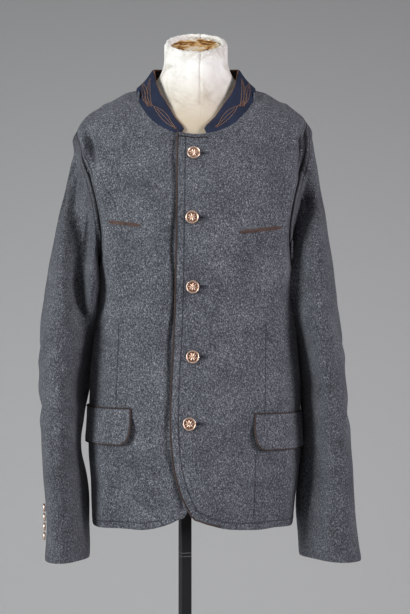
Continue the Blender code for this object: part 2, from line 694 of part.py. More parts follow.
def collar_points():
    """The collar's outside: it leaves the neckline and leans in towards the neck."""
    base = collar_base()
    last = len(base) - 1
    columns, normals = [], []
    for n, foot in enumerate(base):
        along = unit(base[min(n + 1, last)] - base[max(n - 1, 0)])
        torso = torso_normal(foot)
        way = unit(torso.cross(along))
        if way.z < 0.0:
            way = -way
        from_end = min(n, last - n)
        height = COLLAR_END_HEIGHT + (COLLAR_HEIGHT - COLLAR_END_HEIGHT) * smooth_step(
            -1.0, COLLAR_FULL_AT, from_end)
        behind = smooth_step(-10.0, 60.0, foot.y)
        inward = unit(Vector((-foot.x, -foot.y * 0.55, 0.0)))
        lean = math.radians(COLLAR_LEAN_SIDE + (COLLAR_LEAN_BACK - COLLAR_LEAN_SIDE) * behind)
        rise = inward * math.sin(lean) + Vector((0.0, 0.0, math.cos(lean)))
        column = []
        for k in range(COLLAR_ROWS + 1):
            t = k / COLLAR_ROWS
            direction = unit(way * (1.0 - t) ** 2 + rise * (0.3 + t))
            start = column[-1] if column else foot + way * SEAM
            column.append(start + direction * height / COLLAR_ROWS if column else start)
        columns.append(column)
        normals.append(torso)
    return columns, normals


def collar_normals(columns, base_normals):
    fine = grid_normals(columns, lambda p: Vector((p.x, p.y, 30.0)))
    for n, line in enumerate(fine):
        line[0] = base_normals[n]
    return fine


def cord(name, points, material, collection, parent, radius=CORD_RADIUS, sides=1):
    """A round cord through the given points, as a solid mesh."""
    curve = bpy.data.curves.new(name, "CURVE")
    curve.dimensions = "3D"
    curve.bevel_depth = radius * MM
    curve.bevel_resolution = sides
    curve.use_fill_caps = True
    spline = curve.splines.new("POLY")
    spline.points.add(len(points) - 1)
    for knot, point in zip(spline.points, points):
        knot.co = (*millimetres(point), 1.0)
    return add_object(name, curve, material, collection, parent)


# ---- pockets ------------------------------------------------------------------------------------
def flap_points(start_x, top_z):
    """Columns of a flap's underside and outside, from its front end round the torso's side."""
    side = math.copysign(1.0, start_x)
    begin = abs(angle_of(torso_at_x(start_x, top_z)))
    line = [torso_at_angle(side * (begin + math.radians(1.5) * n), top_z) for n in range(60)]
    under, over = [], []
    for i in range(FLAP_COLUMNS + 1):
        share = i / FLAP_COLUMNS
        from_end = min(share, 1.0 - share) * FLAP_LENGTH
        corner = max(0.0, 1.0 - from_end / FLAP_ROUND) ** 2
        low, high = [], []
        for j in range(FLAP_ROWS + 1):
            down = 1.0 - j / FLAP_ROWS
            draw = FLAP_CORNER * corner * down ** 5 * (1.0 if share < 0.5 else -1.0)
            at = share * FLAP_LENGTH + draw
            spot = along_line(line, max(0.0, at))
            z = top_z - (FLAP_HEIGHT - FLAP_CORNER * corner) * down
            place = torso_at_angle(angle_of(spot), z)
            flare = SEAM + (FLAP_FLARE_FRONT + (FLAP_FLARE_SIDE - FLAP_FLARE_FRONT)
                            * smooth_step(0.0, 0.8, share)) * down ** 1.5
            normal = torso_normal(place)
            low.append(place + normal * flare)
            high.append(place + normal * (flare + FLAP_THICKNESS))
        under.append(low)
        over.append(high)
    return under, over


def along_line(line, distance):
    """The place at a distance along a line of points."""
    for a, b in zip(line, line[1:]):
        step = (b - a).length
        if distance <= step:
            return a.lerp(b, distance / step)
        distance -= step
    return line[-1]


def beside(path, insides, distance):
    """A path moved sideways over the torso, away from the points that lie inside it."""
    moved = []
    last = len(path) - 1
    for n, place in enumerate(path):
        tangent = path[min(n + 1, last)] - path[max(n - 1, 0)]
        out = unit(torso_normal(place).cross(tangent))
        if out.dot(place - insides[n]) < 0.0:
            out = -out
        moved.append(place + out * distance)
    return moved


def flap_border(under, over):
    """The middle of a flap's free edge, moved out by the cord's radius and the clear space."""
    middle = [[(a + b) / 2 for a, b in zip(low, high)] for low, high in zip(under, over)]
    count = FLAP_COLUMNS
    path = ([middle[0][j] for j in range(FLAP_ROWS, 0, -1)]
            + [middle[i][0] for i in range(count + 1)]
            + [middle[count][j] for j in range(1, FLAP_ROWS + 1)])
    centre = middle[count // 2][FLAP_ROWS // 2]
    insides = [Vector((centre.x, centre.y, place.z)) if abs(place.z - centre.z) < FLAP_MIDDLE else centre
               for place in path]
    return beside(path, insides, CORD_RADIUS + SEAM + 0.1)


def welt_wall(start, end):
    """A narrow strip of suede lying on a front, from (x, z) to (x, z)."""
    outer, inner = [], []
    for i in range(WELT_COLUMNS + 1):
        share = i / WELT_COLUMNS
        x = start[0] + (end[0] - start[0]) * share
        z = start[1] + (end[1] - start[1]) * share
        half = WELT_TIP + (WELT_HALF - WELT_TIP) * smooth_step(0.0, WELT_BLUNT, min(share, 1.0 - share))
        low, high = [], []
        for j in range(3):
            place = torso_at_x(x, z + half * (j - 1))
            normal = torso_normal(place)
            place = place - normal * dip(place, math.copysign(1.0, x))
            crown = WELT_CROWN if j == 1 else 0.0
            low.append(place + normal * SEAM)
            high.append(place + normal * (SEAM + WELT_THICKNESS + crown))
        inner.append(low)
        outer.append(high)
    return wall(outer, inner)


# ---- buttons, form and stand --------------------------------------------------------------------
def button(name, place, axis, radius, height, steps, material, collection, parent):
    """A turned button with a raised rim, its back against the cloth at a place."""
    profile = ((0.0, 0.72), (0.42, 0.66), (0.66, 0.56), (0.84, 0.98), (1.0, 0.74), (0.97, 0.3),
               (0.6, 0.0), (0.0, 0.0))
    mesh = bmesh.new()
    points = [mesh.verts.new((r * radius * MM, 0.0, h * height * MM)) for r, h in profile]
    for a, b in zip(points, points[1:]):
        mesh.edges.new((a, b))
    data = bpy.data.meshes.new(name)
    mesh.to_mesh(data)
    mesh.free()
    thing = add_object(name, data, material, collection, parent)
    turned = thing.modifiers.new("turned", "SCREW")
    turned.axis = "Z"
    turned.steps = turned.render_steps = steps
    turned.use_merge_vertices = True
    turned.merge_threshold = 0.00002
    turned.use_normal_calculate = False
    thing.location = millimetres(place + axis * BUTTON_SEAT)
    thing.rotation_euler = axis.to_track_quat("Z", "Y").to_euler()
    return thing


def ring_stack(rings):
    """A closed body from rings of points, each a list; a ring of one point is a pole."""
    sides = max(len(ring) for ring in rings)
    mesh = bmesh.new()
    last = len(rings) - 1
    bmesh.ops.create_grid(mesh, x_segments=sides, y_segments=last, size=1.0)
    for vertex in mesh.verts:
        column = round((vertex.co.x + 1.0) / 2.0 * sides)
        ring = rings[round((vertex.co.y + 1.0) / 2.0 * last)]
        vertex.co = millimetres(ring[column % len(ring)])
    bmesh.ops.remove_doubles(mesh, verts=mesh.verts, dist=0.00001)
    face_outwards(mesh)
    data = bpy.data.meshes.new("rings")
    mesh.to_mesh(data)
    mesh.free()
    data.shade_smooth()
    data.set_sharp_from_angle(angle=math.radians(50.0))
    return data


def form_ring(z, shrink=0.0):
    """A level ring of the dress form, its middle over the post below and the neck above."""
    row = {key: table_value(FORM, key, "z", z) for key in FormSection._fields[1:]}
    middle = POST_X * (1.0 - smooth_step(SOCKET_TOP, 1300.0, z))
    ring = []
    for n in range(FORM_SIDES):
        angle = 2.0 * math.pi * n / FORM_SIDES
        depth = row["back"] if math.cos(angle) < 0.0 else row["front"]
        radius = (abs(math.sin(angle) / (row["half_width"] - shrink)) ** row["power"]
                  + abs(math.cos(angle) / (depth - shrink)) ** row["power"])
        radius **= -1.0 / row["power"]
        radius = (radius ** NECK_BLEND + row["neck"] ** NECK_BLEND) ** (1.0 / NECK_BLEND)
        ring.append(Vector((middle + radius * math.sin(angle), -radius * math.cos(angle), z)))
    return ring


def neck_ring(radius, z, tilt, lift=0.0, middle=0.0):
    """A round ring, slanting down to the front by tilt and lifted along its own axis."""
    ring = []
    for n in range(FORM_SIDES):
        angle = 2.0 * math.pi * n / FORM_SIDES
        flat = Vector((radius * math.sin(angle), -radius * math.cos(angle), lift))
        ring.append(Matrix.Rotation(tilt, 3, "X") @ flat + Vector((middle, 0.0, z)))
    return ring


def form_rings():
    bottom = FORM[0].z
    socket = [[Vector((POST_X, 0.0, SOCKET_TOP))],
              neck_ring(SOCKET_RADIUS, SOCKET_TOP, 0.0, middle=POST_X),
              neck_ring(SOCKET_RADIUS, bottom, 0.0, middle=POST_X)]
    foot = form_ring(bottom, FORM_BOTTOM_ROUND)
    body = [form_ring(z) for z in FORM_HEIGHTS]
    top = NECK_TOP_Z
    neck = [neck_ring(NECK_RADIUS + 2.5, top - 35.0, NECK_TILT * 0.3),
            neck_ring(NECK_RADIUS + 1.5, top - 14.0, NECK_TILT * 0.8),
            neck_ring(NECK_RADIUS + 1.0, top, NECK_TILT, -5.0),
            neck_ring(NECK_RADIUS, top, NECK_TILT),
            neck_ring(NECK_RADIUS - RIM_WIDTH / 2, top, NECK_TILT, RIM_WIDTH / 3),
            neck_ring(RIM_RADIUS, top, NECK_TILT),
            neck_ring(RIM_RADIUS - 1.0, top, NECK_TILT, -RIM_DROP)]
    floor = [Matrix.Rotation(NECK_TILT, 3, "X") @ Vector((0.0, 0.0, -RIM_DROP))
             + Vector((0.0, 0.0, top))]
    return socket + [foot] + body + neck + [floor]


def disc(name, radius, height, place, tilt, material, collection, parent, segments):
    """A round plate whose underside's middle is at a place."""
    mesh = bmesh.new()
    bmesh.ops.create_cone(mesh, cap_ends=True, segments=segments, radius1=radius * MM,
                          radius2=radius * MM, depth=height * MM)
    bmesh.ops.translate(mesh, verts=mesh.verts, vec=(0.0, 0.0, height / 2 * MM))
    data = bpy.data.meshes.new(name)
    mesh.to_mesh(data)
    mesh.free()
    thing = add_object(name, data, material, collection, parent)
    thing.location = millimetres(place)
    thing.rotation_euler = (tilt, 0.0, 0.0)
    return thing


def post(material, collection, parent):
    """The square post from the foot plate up into the form's socket."""
    low, high = BASE_HEIGHT + SEAM, SOCKET_TOP - SEAM
    mesh = bmesh.new()
    bmesh.ops.create_cube(mesh, size=1.0)
    size = (POST_SIDE * MM, POST_SIDE * MM, (high - low) * MM)
    bmesh.ops.scale(mesh, verts=mesh.verts, vec=size)
    data = bpy.data.meshes.new("post")
    mesh.to_mesh(data)
    mesh.free()
    thing = add_object("post", data, material, collection, parent)
    thing.location = millimetres((POST_X, 0.0, (low + high) / 2))
    thing.rotation_euler = (0.0, 0.0, POST_TURN)
    edges = thing.modifiers.new("edges", "BEVEL")
    edges.width, edges.segments = 1.2 * MM, 1
    return thing


# ---- assembly -----------------------------------------------------------------------------------
def build_jacket(looks, collection, parent):
    def add(name, data, look):
        return add_object(name, data, looks[look], collection, parent)

    add("front_left", torso_wall(front_points(1)), "loden")
    add("front_right", torso_wall(front_points(-1)), "loden")
    right, left = back_half(-1), back_half(1)
    add("back", torso_wall(right[::-1] + left[1:]), "loden")

    for side, name in ((1, "left"), (-1, "right")):
        columns, ring_normals = sleeve_points(side)
        normals = sleeve_normals(columns, ring_normals, side)
        turn = len(columns)
        add(f"sleeve_{name}_top", sleeve_piece(columns, normals, BACK_SEAM, turn + FRONT_SEAM),
            "loden")
        add(f"sleeve_{name}_under", sleeve_piece(columns, normals, FRONT_SEAM, BACK_SEAM), "loden")
        build_cuff_buttons(name, side, columns, normals, looks, collection, parent)

    build_collar(looks, collection, parent)
    build_edge_cord(looks, collection, parent)
    for name, x, z, welt in (("left", FLAP_LEFT_X, FLAP_LEFT_Z, WELT_LEFT),
                             ("right", FLAP_RIGHT_X, FLAP_RIGHT_Z, WELT_RIGHT)):
        under, over = flap_points(x, z)
        add(f"flap_{name}", wall(over, under), "loden")
        cord(f"flap_piping_{name}", flap_border(under, over), looks["cord"], collection, parent)
        add(f"welt_{name}", welt_wall(*welt), "suede")

    for n, (x, z) in enumerate(zip(BUTTON_XS, BUTTON_HEIGHTS), start=1):
        place = torso_at_x(x, z)
        button(f"button_{n}", place, torso_normal(place), BUTTON_RADIUS, BUTTON_HEIGHT, 16,
               looks["copper"], collection, parent)


def build_cuff_buttons(name, side, columns, normals, looks, collection, parent):
    """Four buttons up the sleeve's outer seam from the cuff."""
    at = CUFF_BUTTON_COLUMN_LEFT if side > 0 else CUFF_BUTTON_COLUMN_RIGHT
    column, line = columns[at], normals[at]
    for n, z in enumerate(CUFF_BUTTON_HEIGHTS, start=1):
        j = next(k for k in range(len(column) - 1, 0, -1) if column[k - 1].z >= z >= column[k].z)
        share = (column[j - 1].z - z) / (column[j - 1].z - column[j].z)
        place = column[j - 1].lerp(column[j], share)
        axis = unit(line[j - 1].lerp(line[j], share))
        button(f"cuff_button_{name}_{n}", place, axis, CUFF_BUTTON_RADIUS, CUFF_BUTTON_HEIGHT, 10,
               looks["copper"], collection, parent)


def build_collar(looks, collection, parent):
    columns, base_normals = collar_points()
    normals = collar_normals(columns, base_normals)
    inner = offset(columns, normals, -COLLAR_THICKNESS)
    add_object("collar", wall(columns, inner), looks["navy"], collection, parent)
    lining = [line[1:] for line in offset(columns, normals, -COLLAR_THICKNESS - SEAM)]
    lining_normals = [line[1:] for line in normals]
    behind = offset(lining, lining_normals, -COLLAR_INSIDE_THICKNESS)
    add_object("collar_inside", wall(lining, behind), looks["brown"], collection, parent)
    middle = (COLLAR_THICKNESS + SEAM + COLLAR_INSIDE_THICKNESS) / 2
    path = []
    for line, ns in zip(columns, normals):
        up = unit(line[-1] - line[-2])
        path.append(line[-1] - ns[-1] * middle + up * (CORD_RADIUS + SEAM))
    cord("collar_piping", path, looks["cord"], collection, parent)


def build_edge_cord(looks, collection, parent):
    """The cord down the left front's edge and round its corner."""
    grid = front_points(1)
    path = ([grid[0][j] for j in range(BODY_ROWS, 0, -1)]
            + [grid[i][0] for i in range(EDGE_CORD_COLUMNS + 1)])
    insides = ([grid[2][j] for j in range(BODY_ROWS, 0, -1)]
               + [grid[i + 1][2] for i in range(EDGE_CORD_COLUMNS + 1)])
    path = [place - torso_normal(place) * LODEN * 0.4 for place in path]
    path = beside(path, insides, CORD_RADIUS + SEAM + 0.1)
    cord("edge_piping", path, looks["cord"], collection, parent)


def build_stand(looks, collection, parent):
    add_object("dress_form", ring_stack(form_rings()), looks["jersey"], collection, parent)
    seat = Vector((0.0, 0.0, NECK_TOP_Z)) + Matrix.Rotation(NECK_TILT, 3, "X") @ Vector(
        (0.0, 0.0, -RIM_DROP + SEAM))
    disc("neck_plug", RIM_RADIUS - 1.6, RIM_DROP * 0.5, seat, NECK_TILT, looks["plaster"],
         collection, parent, FORM_SIDES)
    post(looks["black"], collection, parent)
    disc("base", BASE_RADIUS, BASE_HEIGHT, (POST_X, 0.0, 0.0), 0.0, looks["black"], collection,
         parent, 48)


def main():
    clear_scene()
    collection = bpy.data.collections.new("tyrolean_jacket")
    bpy.context.scene.collection.children.link(collection)
    middle = bpy.data.objects.new("neck_axis", None)
    middle.location = (NECK_X * MM, 0.0, 0.0)
    collection.objects.link(middle)
    looks = {
        "loden": make_material("loden", (0.105, 0.11, 0.125), 0.95),
        "navy": make_material("navy_felt", (0.035, 0.04, 0.065), 0.95),
        "brown": make_material("brown_lining", (0.03, 0.022, 0.02), 0.8),
        "cord": make_material("brown_cord", (0.13, 0.075, 0.055), 0.75),
        "suede": make_material("brown_suede", (0.12, 0.07, 0.055), 0.9),
        "copper": make_material("antique_copper", (0.45, 0.28, 0.21), 0.4, 1.0),
        "jersey": make_material("white_jersey", (0.78, 0.76, 0.71), 0.9),
        "plaster": make_material("old_plaster", (0.55, 0.45, 0.3), 0.85),
        "black": make_material("black_paint", (0.015, 0.015, 0.016), 0.45),
    }
    build_jacket(looks, collection, middle)
    build_stand(looks, collection, middle)


main()
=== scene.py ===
"""Tyrolean loden jacket, closed on a limbless dress form with a post and a round foot.

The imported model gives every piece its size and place. This script gives each one the surface of
the real thing: felted loden with its soft creases, twisted piping, stitched edges, embroidered
collar, cast buttons, the form's jersey cover and the studio round them.
"""

from __future__ import annotations

import logging
import math
from dataclasses import dataclass, field
from enum import Enum
from typing import Callable, Iterable, Sequence

import bmesh
import bpy
import numpy as np
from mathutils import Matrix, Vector, noise
from mathutils.bvhtree import BVHTree
from mathutils.kdtree import KDTree

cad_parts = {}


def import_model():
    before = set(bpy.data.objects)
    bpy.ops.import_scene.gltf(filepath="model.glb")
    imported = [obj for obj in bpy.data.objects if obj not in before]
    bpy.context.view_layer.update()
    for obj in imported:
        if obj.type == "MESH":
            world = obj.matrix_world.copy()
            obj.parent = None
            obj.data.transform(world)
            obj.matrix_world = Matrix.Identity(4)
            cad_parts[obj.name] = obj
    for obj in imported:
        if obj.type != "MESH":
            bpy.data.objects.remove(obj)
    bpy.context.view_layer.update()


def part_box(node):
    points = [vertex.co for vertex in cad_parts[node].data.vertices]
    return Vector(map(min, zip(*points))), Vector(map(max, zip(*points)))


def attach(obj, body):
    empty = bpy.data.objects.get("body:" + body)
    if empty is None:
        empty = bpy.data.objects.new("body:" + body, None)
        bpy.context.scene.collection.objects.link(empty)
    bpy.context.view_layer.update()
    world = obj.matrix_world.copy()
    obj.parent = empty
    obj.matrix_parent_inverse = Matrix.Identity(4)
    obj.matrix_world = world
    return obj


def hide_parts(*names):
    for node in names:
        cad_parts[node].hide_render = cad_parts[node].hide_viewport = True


log = logging.getLogger("loden_jacket")

ROOT = "root"
Point = tuple[float, float, float]
Tree = bpy.types.NodeTree
Socket = bpy.types.NodeSocket
Look = tuple[Socket, Socket]
Material = bpy.types.Material
NOISE, RAMP, MIX = "ShaderNodeTexNoise", "ShaderNodeValToRGB", "ShaderNodeMix"

# Sizes that more than one piece shares, in metres and degrees.
LODEN_THICKNESS = 0.0023
MIDDLE_X = -0.0055          # the jacket's middle, across
HEM_TOP = 0.7215            # an edge below this height is the hem
STITCH_LINE = 0.011         # from a free edge to its sewn line
TOPSTITCH_LINE = 0.0065     # from the armhole's seam to the stitches beside it
SHARP_TURN = math.radians(48.0)
WAVE_BAND = 2.0 * math.pi / 10.0   # a wave texture's band is this share of its unit
FORM_SEAM_X = 0.0015        # the form cover's front seam, across


class Facing(Enum):
    """The side of the object that a crease or a seam is drawn on."""

    FRONT = (0.0, -1.0)
    BACK = (0.0, 1.0)
    LEFT = (1.0, 0.0)
    RIGHT = (-1.0, 0.0)


# ---- small helpers ------------------------------------------------------------------------------
def smooth_step(low: float, high: float, value: float) -> float:
    """Eases from 0 at low to 1 at high.

    Args:
        low: where the result starts to rise.
        high: where it reaches 1.
        value: the place asked for.

    Returns:
        A number from 0 to 1.
    """
    t = min(max((value - low) / (high - low), 0.0), 1.0)
    return t * t * (3.0 - 2.0 * t)


def srgb(hex_colour: str) -> tuple[float, float, float, float]:
    """Turns a hex colour as seen on a screen into linear values.

    Args:
        hex_colour: six hex digits, such as "5f6168".

    Returns:
        Linear red, green and blue, and an alpha of 1.
    """
    parts = [int(hex_colour[i:i + 2], 16) / 255.0 for i in (0, 2, 4)]
    linear = [c / 12.92 if c <= 0.04045 else ((c + 0.055) / 1.055) ** 2.4 for c in parts]
    return (*linear, 1.0)


def new_piece(name: str, mesh: bmesh.types.BMesh, material: Material) -> bpy.types.Object:
    """Links an edited mesh into the scene as a smooth-shaded piece, and frees it.

    Args:
        name: the piece's name.
        mesh: its mesh, in place.
        material: its finish.

    Returns:
        The new object, at the origin.
    """
    data = bpy.data.meshes.new(name)
    mesh.to_mesh(data)
    mesh.free()
    data.materials.append(material)
    data.shade_smooth()
    piece = bpy.data.objects.new(name, data)
    bpy.context.scene.collection.objects.link(piece)
    return piece


def surface_of(piece: bpy.types.Object) -> BVHTree:
    """Makes a piece's surface ready to be searched.

    Args:
        piece: the finished piece.

    Returns:
        A tree of its faces.
    """
    return BVHTree.FromObject(piece, bpy.context.evaluated_depsgraph_get())


def settle(piece: bpy.types.Object, slot: str, *nodes: str) -> None:
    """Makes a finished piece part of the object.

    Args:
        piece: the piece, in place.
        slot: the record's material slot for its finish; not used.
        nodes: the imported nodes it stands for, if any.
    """
    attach(piece, ROOT)
    if nodes:
        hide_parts(*nodes)
    log.info("%s: %d faces", piece.name, len(piece.data.polygons))


def apply_modifiers(piece: bpy.types.Object) -> None:
    """Bakes a piece's modifiers into its mesh.

    Args:
        piece: the piece to bake.
    """
    bpy.context.view_layer.update()
    graph = bpy.context.evaluated_depsgraph_get()
    baked = bpy.data.meshes.new_from_object(piece.evaluated_get(graph))
    piece.modifiers.clear()
    old = piece.data
    piece.data = baked
    bpy.data.meshes.remove(old)


def subdivide(piece: bpy.types.Object, levels: int, passes: int = 3) -> None:
    """Rounds a piece with a subdivision surface that still runs through its corners.

    Args:
        piece: the piece to round.
        levels: how many times each face is split.
        passes: how often the cage is corrected for the rounding's shrinkage.
    """
    rounded = piece.modifiers.new("rounded", "SUBSURF")
    rounded.levels = rounded.render_levels = 1
    rounded.use_limit_surface = True
    rounded.boundary_smooth = "PRESERVE_CORNERS"
    cage = read_points(piece.data)
    wanted = cage.copy()
    for _ in range(passes):
        bpy.context.view_layer.update()
        graph = bpy.context.evaluated_depsgraph_get()
        shown = piece.evaluated_get(graph)
        cage += 0.9 * (wanted - read_points(shown.to_mesh())[:len(cage)])
        shown.to_mesh_clear()
        piece.data.vertices.foreach_set("co", cage.ravel())
        piece.data.update()
    rounded.levels = rounded.render_levels = levels
    apply_modifiers(piece)


def read_points(mesh: bpy.types.Mesh, what: str = "co") -> np.ndarray:
    """Reads a mesh's points or normals.

    Args:
        mesh: the mesh.
        what: "co" or "normal".

    Returns:
        An array with a row for each vertex.
    """
    flat = np.zeros(len(mesh.vertices) * 3)
    mesh.vertices.foreach_get(what, flat)
    return flat.reshape(-1, 3)


def whole_mesh(node: str) -> bmesh.types.BMesh:
    """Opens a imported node's mesh with its loose corners joined and its quads restored.

    Args:
        node: the node's name.

    Returns:
        A mesh to edit, which the caller frees.
    """
    mesh = bmesh.new()
    mesh.from_mesh(bpy.data.objects[node].data)
    bmesh.ops.remove_doubles(mesh, verts=mesh.verts, dist=0.00004)
    bmesh.ops.recalc_face_normals(mesh, faces=mesh.faces)
    bmesh.ops.join_triangles(mesh, faces=mesh.faces, angle_face_threshold=math.radians(50.0),
                             angle_shape_threshold=math.radians(70.0))
    return mesh


def skin_of(node: str, outward: Callable[[Vector], Vector]) -> bmesh.types.BMesh:
    """Takes the seen side of a cloth wall, without its back and its edges.

    Args:
        node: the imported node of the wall.
        outward: gives a rough outward direction at a point.

    Returns:
        The open skin as a mesh to edit, which the caller frees.
    """
    mesh = whole_mesh(node)
    mesh.faces.ensure_lookup_table()
    left = set(mesh.faces)
    sides = []
    while left:
        grown, edge = set(), [left.pop()]
        grown.add(edge[0])
        while edge:
            face = edge.pop()
            for line in face.edges:
                for other in line.link_faces:
                    if other in left and face.normal.angle(other.normal, 0.0) < SHARP_TURN:
                        left.discard(other)
                        grown.add(other)
                        edge.append(other)
        area = sum(face.calc_area() for face in grown)
        side = sum(face.normal.dot(outward(face.calc_center_median())) * face.calc_area()
                   for face in grown)
        sides.append((area, side / area, grown))
    sides.sort(key=lambda entry: -entry[0])
    keep = max(sides[:2], key=lambda entry: entry[1])[2]
    drop = [face for face in mesh.faces if face not in keep]
    bmesh.ops.delete(mesh, geom=drop, context="FACES")
    return mesh


def from_axis(x: float, y: float) -> Callable[[Vector], Vector]:
    """Makes a rough outward direction for a wall that stands round an upright axis.

    Args:
        x: the axis's place across.
        y: the axis's place fore and aft.

    Returns:
        A function from a point to a level unit vector.
    """
    return lambda spot: Vector((spot.x - x, spot.y - y, 0.0)).normalized()


# ---- finishes -----------------------------------------------------------------------------------
def add_node(tree: Tree, kind: str, inputs: dict | None = None,
             stops: Sequence[tuple[float, str]] = (), **settings: object) -> bpy.types.Node:
    """Adds a shader node with its settings and links.

    Args:
        tree: the material's node tree.
        kind: the node's type name.
        inputs: values or output sockets by the input's name or number.
        stops: a colour ramp's places from 0 to 1, with their hex colours.
        settings: the node's own properties.

    Returns:
        The new node.
    """
    made = tree.nodes.new(kind)
    for name, value in settings.items():
        setattr(made, name, value)
    for key, value in (inputs or {}).items():
        if isinstance(value, Socket):
            tree.links.new(value, made.inputs[key])
        else:
            made.inputs[key].default_value = value
    if stops:
        points = made.color_ramp.elements
        while len(points) < len(stops):
            points.new(0.5)
        for point, (place, colour) in zip(points, stops):
            point.position, point.color = place, srgb(colour)
    return made


def cells(width: float) -> float:
    """Turns a pattern's real spacing into the scale that draws it.

    Args:
        width: from one mark of the pattern to the next, in millimetres.

    Returns:
        Whole cells in a metre.
    """
    return float(round(1000.0 / width))


def grain(at: Socket, width: float, detail: float = 2.0, rough: float = 0.5,
          distortion: float = 0.0) -> dict:
    """Works out a noise pattern from the real width of its grains.

    Args:
        at: the place it is read at.
        width: one grain's width in millimetres.
        detail: octaves.
        rough: how strong the finer octaves are.
        distortion: how far it is smeared.

    Returns:
        The noise texture's inputs.
    """
    return {"Vector": at, "Scale": cells(width), "Detail": detail, "Roughness": rough,
            "Distortion": distortion}


def sums(tree: Tree, *terms: tuple[Socket, float]) -> Socket:
    """Adds up values, each with its weight.

    Args:
        tree: the material's node tree.
        terms: pairs of a value and its weight.

    Returns:
        The sum.
    """
    total = None
    for value, weight in terms:
        if total is None:
            made = add_node(tree, "ShaderNodeMath", {0: value, 1: weight}, operation="MULTIPLY")
        else:
            made = add_node(tree, "ShaderNodeMath", {0: value, 1: weight, 2: total},
                            operation="MULTIPLY_ADD")
        total = made.outputs[0]
    return total


def groove(tree: Tree, name: str, place: float, width: float) -> Socket:
    """Draws the groove that a sewn line presses into the cloth, the mask for its relief and for its
    painted shade.

    Args:
        tree: the material's node tree.
        name: the stored distance's name.
        place: the distance the line keeps.
        width: the groove's half width.

    Returns:
        1 in the middle of the groove, falling to 0 beside it.
    """
    gap = add_node(tree, "ShaderNodeAttribute", attribute_name=name).outputs["Fac"]
    off = add_node(tree, "ShaderNodeMath", {0: gap, 1: place}, operation="SUBTRACT").outputs[0]
    size = add_node(tree, "ShaderNodeMath", {0: off}, operation="ABSOLUTE").outputs[0]
    fall = add_node(tree, "ShaderNodeMapRange", {"Value": size, "From Min": 0.0, "From Max": width,
                                                 "To Min": 1.0, "To Max": 0.0})
    return fall.outputs["Result"]


@dataclass(frozen=True)
class Finish:
    """A surface's name and the sockets that are the same all over it."""

    name: str
    roughness: float = 0.9
    metallic: float = 0.0
    sheen: float = 0.0
    sheen_tint: str = "ffffff"
    bump_height: float = 0.0003
    bump_strength: float = 0.6

    def surface(self, tree: Tree, spot: Socket) -> Look:
        """Builds the colour and the relief.

        Args:
            tree: the material's node tree.
            spot: object coordinates.

        Returns:
            The colour socket and the height socket.
        """
        raise NotImplementedError

    def build(self) -> Material:
        """Makes the material.

        Returns:
            The finished material.
        """
        material = bpy.data.materials.new(self.name)
        material.use_nodes = True
        tree = material.node_tree
        shader = tree.nodes["Principled BSDF"]
        spot = add_node(tree, "ShaderNodeTexCoord").outputs["Object"]
        colour, height = self.surface(tree, spot)
        bump = add_node(tree, "ShaderNodeBump", {"Strength": self.bump_strength,
                                                 "Distance": self.bump_height, "Height": height})
        tree.links.new(colour, shader.inputs["Base Color"])
        tree.links.new(bump.outputs["Normal"], shader.inputs["Normal"])
        shader.inputs["Roughness"].default_value = self.roughness
        shader.inputs["Metallic"].default_value = self.metallic
        shader.inputs["Sheen Weight"].default_value = self.sheen
        shader.inputs["Sheen Roughness"].default_value = 0.45
        shader.inputs["Sheen Tint"].default_value = srgb(self.sheen_tint)
        shader.inputs["Specular IOR Level"].default_value = 0.5 if self.metallic else 0.25
        return material


@dataclass(frozen=True)
class LodenFinish(Finish):
    """Loden: blended wool, woven, fulled until the weave is gone, and sheared.

    The eye gets a matt mottle of dark and pale tufts, with no thread to follow, pressed in along
    each sewn line, where the colour is darkened with painted shade.
    """

    darkest: str = "17171b"
    dark: str = "2b2c31"
    middle: str = "484a50"
    pale: str = "6b6d72"
    palest: str = "9a9b9e"
    tuft_width: float = 1.786    # a real tuft is half as wide, which would not show
    fibre_width: float = 0.769   # a bundle of fibres, as one fibre would not show
    cloud_width: float = 45.5

    def surface(self, tree: Tree, spot: Socket) -> Look:
        """Mixes tufts, single fibres and slow clouds of the blend.

        Args:
            tree: the material's node tree.
            spot: object coordinates.

        Returns:
            The colour socket and the height socket.
        """
        slant = add_node(tree, "ShaderNodeMapping", {"Vector": spot, "Rotation": (0.0, 0.35, 0.3),
                                                     "Scale": (1.0, 1.0, 0.75)}).outputs[0]
        tuft = add_node(tree, NOISE, grain(slant, self.tuft_width, 3.0, 0.65, 0.6)).outputs["Fac"]
        fibre = add_node(tree, NOISE, grain(spot, self.fibre_width, 2.0, 0.6, 1.4)).outputs["Fac"]
        cloud = add_node(tree, NOISE, grain(spot, self.cloud_width, 2.0, 0.5)).outputs["Fac"]
        mixed = sums(tree, (tuft, 0.72), (fibre, 0.34), (cloud, 0.1))
        tones = ((0.40, self.darkest), (0.51, self.dark), (0.60, self.middle),
                 (0.675, self.pale), (0.765, self.palest))
        colour = add_node(tree, RAMP, {"Fac": mixed}, tones).outputs["Color"]
        # Painted shade: along the grooves of the edge stitching, the darts, the armhole seam and
        # the line beside it, the relief is pressed in and the colour is darkened.
        sewn = sums(tree, (groove(tree, "edge_gap", STITCH_LINE, 0.0013), 0.8),
                    (groove(tree, "seam_gap", 0.0, 0.0012), 0.9),
                    (groove(tree, "arm_gap", 0.0, 0.0038), 1.5),
                    (groove(tree, "arm_gap", TOPSTITCH_LINE, 0.0015), 0.8))
        relief = sums(tree, (tuft, 0.7), (fibre, 0.5), (sewn, -1.6))
        # The colour is mixed toward the darkest tone along the grooves: painted shade.
        return add_node(tree, MIX, {0: sewn, 6: colour, 7: srgb(self.darkest)},
                        data_type="RGBA").outputs[2], relief


